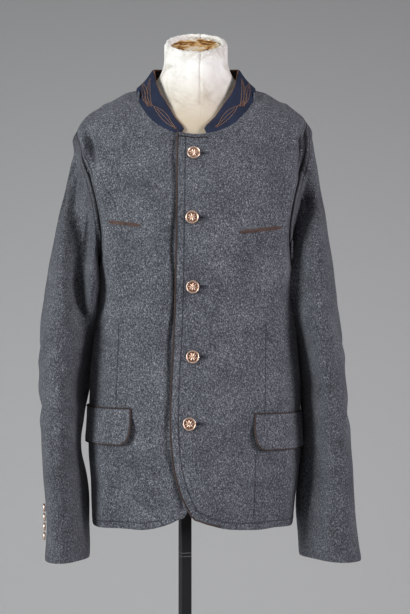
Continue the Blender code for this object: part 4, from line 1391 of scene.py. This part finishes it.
class CollarDrawing:
    """Turns an angle round the neck and a share of the collar's height into a place on it."""

    def __init__(self, collar: bpy.types.Object) -> None:
        """Reads the collar's surface.

        Args:
            collar: the finished collar.
        """
        self.tree = surface_of(collar)
        self.axis = Vector((MIDDLE_X, -0.006, 0.0))
        self.heights = [1.33 + 0.001 * k for k in range(135)]

    def hit(self, angle: float, height: float) -> tuple[Vector, Vector] | None:
        """Finds the collar's outer face at an angle and a height.

        Args:
            angle: radians round the neck from the front, to the wearer's left.
            height: metres over the floor.

        Returns:
            The place and its normal, or None beside the collar.
        """
        out = Vector((math.sin(angle), -math.cos(angle), 0.0))
        start = self.axis + out * 0.2 + Vector((0.0, 0.0, height))
        spot, normal, _, _ = self.tree.ray_cast(start, -out, 0.19)
        return (spot, normal) if spot else None

    def place(self, angle: float, share: float) -> tuple[Vector, Vector]:
        """Finds a place on the collar.

        Args:
            angle: degrees round the neck from the front, to the wearer's left.
            share: of the collar's height there, from 0 at its foot.

        Returns:
            The place and its normal.
        """
        turn = math.radians(angle)
        seen = [height for height in self.heights if self.hit(turn, height)]
        inside = min(max(share, 0.03), 0.97)
        return self.hit(turn, seen[0] + (seen[-1] - seen[0]) * inside)


@dataclass(frozen=True)
class Leaf:
    """An embroidered leaf on the collar.

    Its stalk and its tip are given in degrees round the neck and shares of the collar's height,
    and its half width and its bend in those shares.
    """

    start: tuple[float, float]
    end: tuple[float, float]
    half: float
    bend: float

    def at(self, share: float, belly: float) -> tuple[float, float]:
        """Finds a place on the leaf.

        Args:
            share: of the way from its stalk to its tip.
            belly: -1 and 1 on its edges, 0 on its vein.

        Returns:
            The angle and the share of the collar's height.
        """
        swell = math.sin(math.pi * share ** 0.85)
        height = self.start[1] + (self.end[1] - self.start[1]) * share
        return (self.start[0] + (self.end[0] - self.start[0]) * share,
                height + (self.bend + belly * self.half) * swell)


LEAVES = (Leaf((25.0, 0.34), (55.0, 0.46), 0.17, 0.10),
          Leaf((57.0, 0.40), (86.0, 0.82), 0.15, -0.12),
          Leaf((60.0, 0.28), (92.0, 0.34), 0.13, 0.06))
LEAF_STEPS = 16
VEIN_SHARE = 0.86        # how much of the leaf its vein runs through
KNOTS, KNOT_RING = 5, 0.0013


def embroider(collar: bpy.types.Object, finishes: Finishes) -> None:
    """Sews the leaves and their knots on both sides of the collar.

    Args:
        collar: the finished collar.
        finishes: the object's materials.
    """
    drawing = CollarDrawing(collar)
    cream, rust = ThreadWork(), ThreadWork()
    for side in (1.0, -1.0):
        for leaf in LEAVES:
            for belly in (-1.0, 0.0, 1.0):
                path = []
                for k in range(LEAF_STEPS + 1):
                    share = k / LEAF_STEPS * (VEIN_SHARE if belly == 0.0 else 1.0)
                    angle, height = leaf.at(share, belly)
                    path.append(drawing.place(side * angle, height))
                cream.line(LEAF_STITCH, path, side)
            spot, up = drawing.place(side * leaf.start[0], leaf.start[1])
            for k in range(KNOTS):
                turn = 2.0 * math.pi * k / KNOTS
                way = Vector((math.cos(turn), 0.0, math.sin(turn)))
                rust.sew(KNOT_STITCH, spot + way * KNOT_RING, up.cross(way).normalized(), up)
    cream.finish("collar_leaves", "brown_cord", finishes.cream_thread)
    rust.finish("collar_knots", "brown_cord", finishes.rust_thread)


@dataclass(frozen=True)
class Lamp:
    """A soft lamp: its place, its width and height in metres, its watts and its colour."""

    name: str
    place: Point
    size: tuple[float, float]
    power: float
    colour: str

    def hang(self, aim: Point) -> None:
        """Hangs the lamp.

        Args:
            aim: the place it looks at.
        """
        data = bpy.data.lights.new(self.name, "AREA")
        data.shape, data.size, data.size_y = "RECTANGLE", *self.size
        data.energy = self.power
        data.color = srgb(self.colour)[:3]
        lamp = bpy.data.objects.new(self.name, data)
        lamp.location = self.place
        way = Vector(aim) - Vector(self.place)
        lamp.rotation_euler = way.to_track_quat("-Z", "Y").to_euler()
        bpy.context.scene.collection.objects.link(lamp)


@dataclass
class Studio:
    """Grey paper backdrop, pale floor, soft lamps and the camera."""

    distance: float = 2.6
    eye: Point = (0.0091, 0.0, 1.065)
    lens: float = 94.0
    sensor: float = 36.0
    chest: Point = (0.0, 0.0, 1.1)
    lamps: tuple[Lamp, ...] = (
        Lamp("lamp_left", (-1.95, -1.3, 1.55), (0.7, 1.4), 88.0, "f4f8fa"),
        Lamp("lamp_right", (2.0, -1.25, 1.55), (0.7, 1.4), 63.0, "f8f4fb"),
        Lamp("lamp_top", (0.0, -0.8, 3.0), (1.4, 1.0), 9.0, "ffffff"),
    )
    room_colour: str = "c4c6ca"
    room_light: float = 0.05
    half_width: float = 4.0
    back: float = 2.3

    def build(self) -> None:
        """Builds the room, the lamps and the camera."""
        self.floor()
        self.backdrop()
        for lamp in self.lamps:
            lamp.hang(self.chest)
        world = bpy.data.worlds.new("room_light")
        world.use_nodes = True
        light = world.node_tree.nodes["Background"]
        light.inputs["Color"].default_value = srgb(self.room_colour)
        light.inputs["Strength"].default_value = self.room_light
        bpy.context.scene.world = world
        bpy.context.scene.view_settings.view_transform = "Standard"
        data = bpy.data.cameras.new("camera")
        data.lens, data.sensor_width = self.lens, self.sensor
        camera = bpy.data.objects.new("camera", data)
        camera.location = (self.eye[0], self.eye[1] - self.distance, self.eye[2])
        camera.rotation_euler = (math.pi / 2.0, 0.0, 0.0)
        bpy.context.scene.collection.objects.link(camera)
        bpy.context.scene.camera = camera

    def surface(self, name: str, finish: str, corners: Sequence[Point], roughness: float,
                paint: Callable[[Tree, Socket], Socket]) -> None:
        """Builds a flat staged surface.

        Args:
            name: its name.
            finish: its material's name.
            corners: its four corners in order.
            roughness: how matt it is.
            paint: builds its colour from object coordinates.
        """
        material = bpy.data.materials.new(finish)
        material.use_nodes = True
        tree = material.node_tree
        shader = tree.nodes["Principled BSDF"]
        spot = add_node(tree, "ShaderNodeTexCoord").outputs["Object"]
        tree.links.new(paint(tree, spot), shader.inputs["Base Color"])
        shader.inputs["Roughness"].default_value = roughness
        mesh = bmesh.new()
        mesh.faces.new([mesh.verts.new(corner) for corner in corners])
        new_piece(name, mesh, material)

    def floor(self) -> None:
        """Builds the pale floor, a hair under the foot."""
        def paint(tree: Tree, spot: Socket) -> Socket:
            """Mottles the paint in slow clouds."""
            cloud = add_node(tree, NOISE, grain(spot, 333.0, 3.0)).outputs["Fac"]
            return add_node(tree, RAMP, {"Fac": cloud},
                            ((0.3, "cfd0d2"), (0.7, "dadbdd"))).outputs["Color"]

        wide, near, far, level = self.half_width, -4.0, 2.4, -0.0005
        self.surface("floor", "floor_paint", ((-wide, near, level), (wide, near, level),
                                              (wide, far, level), (-wide, far, level)), 0.8, paint)

    def backdrop(self) -> None:
        """Builds the grey backdrop, a little paler towards the floor."""
        def paint(tree: Tree, spot: Socket) -> Socket:
            """Shades the paper by its height."""
            height = add_node(tree, "ShaderNodeSeparateXYZ", {"Vector": spot}).outputs["Z"]
            share = add_node(tree, "ShaderNodeMapRange", {"Value": height, "From Min": 0.1,
                                                          "From Max": 2.0})
            return add_node(tree, RAMP, {"Fac": share.outputs["Result"]},
                            ((0.0, "c1c1bf"), (1.0, "979796"))).outputs["Color"]

        wide, low, high = self.half_width, -0.1, 4.5
        self.surface("backdrop", "backdrop_paper", ((-wide, self.back, low), (wide, self.back, low),
                                                    (wide, self.back, high),
                                                    (-wide, self.back, high)), 0.95, paint)


# ---- the jacket ---------------------------------------------------------------------------------
# Places are metres across or fore and aft, and up. Free creases hollow the sleeves' insides, and
# the two that face sideways fill the sleeves out against the body.
RIGHT_ARM_CREASES = (
    Crease(Facing.FRONT, ((-0.1775, 1.36), (-0.173, 1.30), (-0.168, 1.262)), 0.0065, -0.010),
)
LEFT_ARM_CREASES = (
    Crease(Facing.FRONT, ((0.171, 1.365), (0.1614, 1.302), (0.157, 1.262)), 0.0065, -0.009),
)
RIGHT_SLEEVE_CREASES = RIGHT_ARM_CREASES + (
    Crease(Facing.FRONT, ((-0.2035, 1.345), (-0.1995, 1.25), (-0.194, 1.16), (-0.188, 1.08),
                          (-0.180, 0.98), (-0.174, 0.90)), 0.0185, -0.038, 0.08, 0.0, True),
    Crease(Facing.FRONT, ((-0.179, 1.02), (-0.183, 0.88), (-0.181, 0.78), (-0.179, 0.60)),
           0.021, -0.032, 0.2, 0.0, True),
    Crease(Facing.LEFT, ((-0.02, 1.16), (-0.02, 0.98), (-0.02, 0.70)), 0.04, 0.0065, 0.25, 0.0),
    Crease(Facing.FRONT, ((-0.2035, 1.34), (-0.2015, 1.28), (-0.199, 1.21)), 0.006, -0.0065,
           0.25, 0.2),
    Crease(Facing.FRONT, ((-0.196, 1.00), (-0.208, 0.985), (-0.224, 0.965)), 0.010, -0.005),
    Crease(Facing.FRONT, ((-0.232, 0.90), (-0.222, 0.86), (-0.205, 0.83)), 0.010, -0.004),
    Crease(Facing.RIGHT, ((-0.07, 1.05), (-0.04, 1.0), (0.0, 0.97)), 0.012, -0.0035),
    Crease(Facing.RIGHT, ((-0.08, 0.94), (-0.05, 0.91), (-0.01, 0.89)), 0.012, -0.0035),
    Crease(Facing.BACK, ((-0.19, 1.25), (-0.195, 1.16), (-0.205, 1.06)), 0.009, -0.008),
    Crease(Facing.BACK, ((-0.195, 0.99), (-0.215, 0.965), (-0.235, 0.955)), 0.010, -0.005),
)
LEFT_SLEEVE_CREASES = LEFT_ARM_CREASES + (
    Crease(Facing.FRONT, ((0.164, 1.285), (0.157, 1.23), (0.152, 1.17), (0.151, 1.10),
                          (0.157, 1.02), (0.168, 0.94), (0.172, 0.88), (0.169, 0.78),
                          (0.165, 0.71), (0.166, 0.56)), 0.029, -0.050, 0.08, 0.0, True),
    Crease(Facing.RIGHT, ((-0.02, 1.10), (-0.02, 0.92), (-0.02, 0.70)), 0.04, 0.0055, 0.25, 0.0),
    Crease(Facing.FRONT, ((0.195, 0.95), (0.206, 0.92), (0.222, 0.905)), 0.010, -0.005),
    Crease(Facing.LEFT, ((-0.07, 1.06), (-0.04, 1.01), (0.0, 0.975)), 0.012, -0.0025),
    Crease(Facing.LEFT, ((-0.08, 0.93), (-0.05, 0.90), (-0.01, 0.885)), 0.012, -0.0025),
    Crease(Facing.BACK, ((0.175, 1.26), (0.18, 1.17), (0.19, 1.07)), 0.009, -0.008),
    Crease(Facing.BACK, ((0.185, 0.98), (0.203, 0.955), (0.222, 0.945)), 0.010, -0.005),
)
FRONT_CREASES = (
    Crease(Facing.FRONT, ((-0.143, 1.20), (-0.140, 1.10), (-0.137, 1.02), (-0.141, 0.94),
                          (-0.151, 0.86), (-0.155, 0.77), (-0.155, 0.60)),
           0.021, 0.010, 0.12, 0.0, True),
    Crease(Facing.FRONT, ((0.136, 1.19), (0.131, 1.10), (0.127, 1.02), (0.131, 0.94),
                          (0.141, 0.86), (0.145, 0.77), (0.145, 0.60)),
           0.021, 0.010, 0.12, 0.0, True),
    Crease(Facing.FRONT, ((-0.143, 1.125), (-0.137, 1.04), (-0.139, 0.96)), 0.016, -0.003),
    Crease(Facing.FRONT, ((0.136, 1.13), (0.126, 1.05), (0.123, 0.98)), 0.016, -0.003),
    Crease(Facing.FRONT, ((-0.118, 0.83), (-0.121, 0.77), (-0.120, 0.70)), 0.017, -0.003, 0.1),
    Crease(Facing.FRONT, ((0.122, 0.83), (0.119, 0.77), (0.121, 0.70)), 0.017, -0.003, 0.1),
    Crease(Facing.FRONT, ((0.050, 0.80), (0.052, 0.75), (0.055, 0.70)), 0.02, -0.0025, 0.1),
)
# The hollow in the right front beside the left one's edge.
EDGE_SHADOW = Crease(Facing.FRONT, ((-0.034, 1.335), (-0.0365, 1.19), (-0.0395, 1.02),
                                    (-0.0465, 0.91), (-0.046, 0.87), (-0.041, 0.83),
                                    (-0.034, 0.79), (-0.024, 0.745)), 0.0055, -0.0042, 0.02, 0.0)
BACK_CREASES = (
    Crease(Facing.BACK, ((-0.165, 1.33), (-0.158, 1.26), (-0.150, 1.18)), 0.009, -0.006),
    Crease(Facing.BACK, ((0.155, 1.33), (0.148, 1.26), (0.140, 1.18)), 0.009, -0.006),
    Crease(Facing.BACK, ((-0.09, 1.03), (-0.03, 1.015), (0.04, 1.02)), 0.013, -0.0035),
    Crease(Facing.BACK, ((0.10, 1.045), (0.05, 1.03), (0.0, 1.04)), 0.012, -0.003),
    Crease(Facing.BACK, ((-0.07, 0.87), (-0.075, 0.79), (-0.073, 0.70)), 0.022, -0.004, 0.1),
    Crease(Facing.BACK, ((0.06, 0.88), (0.066, 0.80), (0.063, 0.70)), 0.022, -0.004, 0.1),
)


def on_hem(spot: Vector) -> bool:
    """Tells whether a point lies on the body's hem.

    Args:
        spot: the point.

    Returns:
        True on the hem.
    """
    return spot.z < HEM_TOP


def on_front_edge(spot: Vector) -> bool:
    """Tells whether a point lies on the left front's free edge or its hem.

    Args:
        spot: the point.

    Returns:
        True on the edge, its round corner and the hem.
    """
    return on_hem(spot) or (spot.x < 0.04 and spot.z < 1.334 and spot.y < -0.07)


def on_armhole(spot: Vector) -> bool:
    """Tells whether an edge point of the body lies on an armhole.

    Args:
        spot: the point.

    Returns:
        True on an armhole.
    """
    out = abs(spot.x - MIDDLE_X)
    return spot.z > 1.13 and out > 0.125 and not (spot.z > 1.35 and out < 0.156)


@dataclass
class Jacket:
    """The jacket's cloth, trim, stitching and buttons."""

    finishes: Finishes
    cloth: dict[str, LodenPiece] = field(init=False)
    top_from: float = -0.0325     # the left front's top edge, across
    top_length: float = 0.0445
    top_steps: int = 46
    hole_from: float = 0.006      # a buttonhole, out from its button's middle
    hole_to: float = 0.0215
    hole_half: float = 0.0016
    hole_steps: int = 20
    hole_end_steps: int = 8
    slit_radius: float = 0.00055
    flap_off: tuple[float, float] = (0.0015, 0.0062)   # its free corner: inward and forward
    flap_reach: float = 0.05      # how far along it the corner stands off
    flap_drop: tuple[float, float] = (0.004, 0.03)     # and how far below the seam
    tuck_from: float = -0.002     # the edge piping's lower end, across
    tuck_below: float = 0.74
    tuck_slope: float = 0.14

    def __post_init__(self) -> None:
        """Lists the pieces of loden with the sizes they were cut to."""
        # The sleeves wear the darker copy of the loden, which is painted shade.
        body, sleeve = self.finishes.loden, self.finishes.shaded_sleeve_loden
        chest, left_arm, right_arm = (0.010, 0.0), (0.2, -0.04), (-0.21, -0.04)
        pieces = (
            LodenPiece("back", body, (-0.010, -0.02), (0.52, 0.735), 0.34, BACK_CREASES,
                       (Seam(((MIDDLE_X, 0.70), (MIDDLE_X, 1.43)), behind=True),),
                       free_edge=on_hem),
            LodenPiece("front_left", body, chest, (0.33, 0.73), 0.19,
                       FRONT_CREASES + LEFT_ARM_CREASES,
                       (Seam(((0.103, 0.900), (0.1046, 1.040))),
                        Seam(((0.085, 0.735), (0.0884, 0.838)))), free_edge=on_front_edge),
            LodenPiece("front_right", body, chest, (0.33, 0.73), 0.18,
                       FRONT_CREASES + RIGHT_ARM_CREASES + (EDGE_SHADOW,),
                       (Seam(((-0.130, 0.905), (-0.1256, 1.040))),), free_edge=on_hem),
            LodenPiece("sleeve_left_top", sleeve, left_arm, (0.23, 0.75), 0.11,
                       LEFT_SLEEVE_CREASES, (Seam(((0.2116, 0.672), (0.1873, 0.9146))),)),
            LodenPiece("sleeve_left_under", sleeve, left_arm, (0.2, 0.65), 0.1,
                       LEFT_SLEEVE_CREASES),
            LodenPiece("sleeve_right_top", sleeve, right_arm, (0.23, 0.75), 0.11,
                       RIGHT_SLEEVE_CREASES),
            LodenPiece("sleeve_right_under", sleeve, right_arm, (0.2, 0.65), 0.1,
                       RIGHT_SLEEVE_CREASES),
        )
        self.cloth = {piece.node: piece for piece in pieces}

    def build(self) -> None:
        """Builds every part of the jacket."""
        for part in self.cloth.values():
            part.lay()
        seam = []
        for node in ("front_left", "front_right", "back"):
            mesh = self.cloth[node].piece.data
            spots = [vertex.co for vertex in mesh.vertices]
            seam += [(spots[a].copy(), spots[b].copy()) for a, b in open_edges(mesh)
                     if on_armhole(spots[a]) and on_armhole(spots[b])]
        armholes = scatter(seam)
        for part in self.cloth.values():
            part.finish(armholes)
            part.dress()
        self.trim()
        self.buttons()
        self.stitching()

    def soft_copy(self, node: str, material: Material, slot: str, levels: int,
                  lift: Callable[[Vector], Vector] | None = None) -> bpy.types.Object:
        """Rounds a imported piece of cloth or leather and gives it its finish.

        Args:
            node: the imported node.
            material: its finish.
            slot: the record's material slot.
            levels: how finely it is rounded.
            lift: how far each of its points stands off, if any do.

        Returns:
            The soft piece.
        """
        piece = new_piece(node + "_soft", whole_mesh(node), material)
        if lift:
            for vertex in piece.data.vertices:
                vertex.co = vertex.co + lift(vertex.co)
        subdivide(piece, levels)
        spots = read_points(piece.data)
        for mark in ("arm_gap", "edge_gap"):
            store(piece.data, mark, [1.0] * len(spots))
        store(piece.data, "seam_gap", spots[:, 2].max() - spots[:, 2])
        settle(piece, slot, node)
        return piece

    def trim(self) -> None:
        """Builds the collar, flaps, welts and pipings."""
        looks = self.finishes
        collar = self.soft_copy("collar", looks.navy, "navy_felt", 2)
        embroider(collar, looks)
        self.soft_copy("collar_inside", looks.lining, "brown_lining", 2)
        for side in ("left", "right"):
            lift = self.flap_lift(side)
            flap = self.soft_copy("flap_" + side, looks.loden, "loden", 3, lift)
            self.soft_copy("flap_piping_" + side, looks.cord, "brown_cord", 1, lift)
            self.flap_top(flap, side)
            self.soft_copy("welt_" + side, looks.suede, "brown_suede", 2)
        bpy.data.objects["collar_piping"].data.materials[0] = looks.collar_cord

        def tuck(spot: Vector) -> Vector:
            """Draws the piping's lower end up under the hem."""
            rise = self.tuck_slope * max(0.0, spot.x - self.tuck_from)
            return Vector((0.0, 0.0, rise if spot.z < self.tuck_below else 0.0))

        self.soft_copy("edge_piping", looks.cord, "brown_cord", 1, tuck)

    def flap_lift(self, side: str) -> Callable[[Vector], Vector]:
        """Makes the rule by which a flap stands off the front.

        Args:
            side: the wearer's side.

        Returns:
            A function from a place on the flap to how far it moves.
        """
        low, high = (Vector(corner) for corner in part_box("flap_" + side))
        sign = 1.0 if side == "left" else -1.0
        front = low.x if sign > 0.0 else high.x
        stand = Vector((-self.flap_off[0] * sign, -self.flap_off[1], 0.0))

        def lift(spot: Vector) -> Vector:
            """Follows the front under the flap and stands the free front corner off it."""
            here, ahead = np.array([spot]), np.array([(0.0, -1.0, 0.0)])
            under = sum(float(crease.push(here, ahead)[0])
                        for crease in FRONT_CREASES if crease.free)
            near = 1.0 - smooth_step(0.0, self.flap_reach, abs(spot.x - front))
            drop = smooth_step(*self.flap_drop, high.z - spot.z)
            return stand * near * drop + Vector((0.0, -under, 0.0))

        return lift

    def flap_top(self, flap: bpy.types.Object, side: str) -> None:
        """Sews a cord along the seam over a flap.

        Args:
            flap: the flap's soft piece.
            side: the wearer's side.
        """
        spots, normals = read_points(flap.data), read_points(flap.data, "normal")
        outward = spots[:, 0] * normals[:, 0] + spots[:, 1] * normals[:, 1] > 0.0
        rim = np.flatnonzero(outward & (spots[:, 2] > spots[:, 2].max() - 0.0012))
        rim = rim[np.argsort(np.arctan2(np.abs(spots[rim, 0]), -spots[rim, 1]))]
        row = [(Vector(spots[k]), Vector(normals[k])) for k in rim]
        work = ThreadWork()
        for spot, way, up in evenly(row, FLAP_TWIST.step):
            flat = Vector((up.x, up.y, 0.0)).normalized()
            work.sew(FLAP_TWIST, spot + flat * 0.0002, way, flat)
        work.finish(f"flap_{side}_seam", "brown_cord", self.finishes.cord)

    def stitching(self) -> None:
        """Sews the line that runs inside the free edges, and the neckline."""
        work = ThreadWork()
        for part in self.cloth.values():
            for path in part.sewn:
                work.line(EDGE_STITCH, path)
        work.finish("edge_stitches", "loden", self.finishes.thread)
        self.neckline()

    def neckline(self) -> None:
        """Turns in the left front's top edge between the collar's ends, with a dark lump of painted
        shade in the notch at each end.
        """
        piece = self.cloth["front_left"].piece
        surface = surface_of(piece)
        spots = read_points(piece.data)
        work, row = ThreadWork(), []
        for k in range(self.top_steps + 1):
            x = self.top_from + self.top_length * k / self.top_steps
            near = np.flatnonzero((spots[:, 2] > 1.30) & (np.abs(spots[:, 0] - x) < 0.0016))
            if len(near):
                top = near[np.argmax(spots[near, 2])]
                below = Vector((x, spots[top, 1] - 0.012, spots[top, 2] - 0.0025))
                row.append(surface.find_nearest(below)[:2])
        for (spot, up), (after, _) in zip(row, row[1:]):
            work.sew(NECK_TURN, (spot + after) / 2.0, (after - spot).normalized(), up)
        # A dark lump of lining cloth at each end of the row is painted shade in the notch there.
        for spot, up in (row[0], row[-1]):
            work.sew(NECK_NOTCH_SHADE, spot - Vector((0.0, 0.0, 0.0022)),
                     Vector((0.15, 0.0, 1.0)).normalized(), up)
        work.finish("neckline_turn", "brown_lining", self.finishes.lining)

    def buttons(self) -> None:
        """Builds the front and cuff buttons and the buttonholes."""
        holes, slits = ThreadWork(), ThreadWork()
        copper = self.finishes.copper
        front = surface_of(self.cloth["front_left"].piece)
        for number in range(1, 6):
            node = f"button_{number}"
            spot, normal = cloth_under(front, node)
            ReliefButton(node, radius=0.0104, rim=0.17, height=0.0042,
                         turn=0.3 * number).build(normal, copper)
            self.buttonhole(front, spot, holes, slits)
        for side in ("left", "right"):
            sleeve = surface_of(self.cloth[f"sleeve_{side}_top"].piece)
            for number in range(1, 5):
                node = f"cuff_button_{side}_{number}"
                ReliefButton(node, radius=0.0064, rim=0.2, height=0.0036, beads=20, rings=16,
                             sides=64).build(cloth_under(sleeve, node)[1], copper)
        holes.finish("buttonhole_threads", "loden", self.finishes.thread)
        slits.finish("buttonhole_slits", "brown_lining", self.finishes.lining)

    def buttonhole(self, surface: BVHTree, middle: Vector, holes: ThreadWork,
                   slits: ThreadWork) -> None:
        """Sews the stretch of a buttonhole that shows beside its button.

        Args:
            surface: the left front's cloth.
            middle: the button's place on the cloth.
            holes: gathers the edge threads.
            slits: gathers the dark slits, painted shade in the buttonholes' cuts.
        """
        def on_front(across: float, rise: float) -> tuple[Vector, Vector]:
            """Finds a place beside the button."""
            return surface.find_nearest(middle + Vector((across, 0.0, rise)))[:2]

        start, end = self.hole_from, self.hole_to
        for k in range(self.hole_steps + 1):
            at = start + (end - start) * k / self.hole_steps
            for side in (-1.0, 1.0):
                spot, up = on_front(at, side * self.hole_half)
                holes.sew(HOLE_STITCH, spot, Vector((0.1, 0.0, 1.0)).normalized(), up)
        round_end = self.hole_half + 0.0005
        for k in range(self.hole_end_steps + 1):
            turn = math.pi * (k / self.hole_end_steps - 0.5)
            out = Vector((math.cos(turn), 0.0, math.sin(turn)))
            spot, up = on_front(end + out.x * round_end, out.z * round_end)
            holes.sew(HOLE_END_STITCH, spot, out, up)
        # The slit is a thin dark cord of lining cloth: painted shade in the buttonhole's cut.
        spot, up = on_front((start + end) / 2.0, 0.0)
        slit = Stitch(end - start, self.slit_radius, lift=0.0)
        slits.sew(slit, spot, Vector((1.0, 0.0, 0.0)), up)


def cloth_under(surface: BVHTree, node: str) -> tuple[Vector, Vector]:
    """Finds the cloth under a packed button.

    Args:
        surface: the cloth.
        node: the button's node.

    Returns:
        The place and its normal.
    """
    low, high = (Vector(corner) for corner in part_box(node))
    return surface.find_nearest((low + high) / 2.0)[:2]


@dataclass
class Stand:
    """The post and the foot, painted, with softened edges."""

    finishes: Finishes
    edge: float = 0.0008
    edge_steps: int = 2

    def build(self) -> None:
        """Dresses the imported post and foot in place."""
        for node in ("post", "base"):
            thing = bpy.data.objects[node]
            thing.data.materials[0] = self.finishes.paint
            soft = thing.modifiers.new("soft_edges", "BEVEL")
            soft.width, soft.segments, soft.limit_method = self.edge, self.edge_steps, "ANGLE"
            log.info("%s: painted", node)


def main() -> None:
    """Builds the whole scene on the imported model."""
    logging.basicConfig(level=logging.INFO, format="%(message)s")
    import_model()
    finishes = Finishes()
    Jacket(finishes).build()
    DressForm(finishes).build()
    Stand(finishes).build()
    Studio().build()


if __name__ == "__main__":
    main()
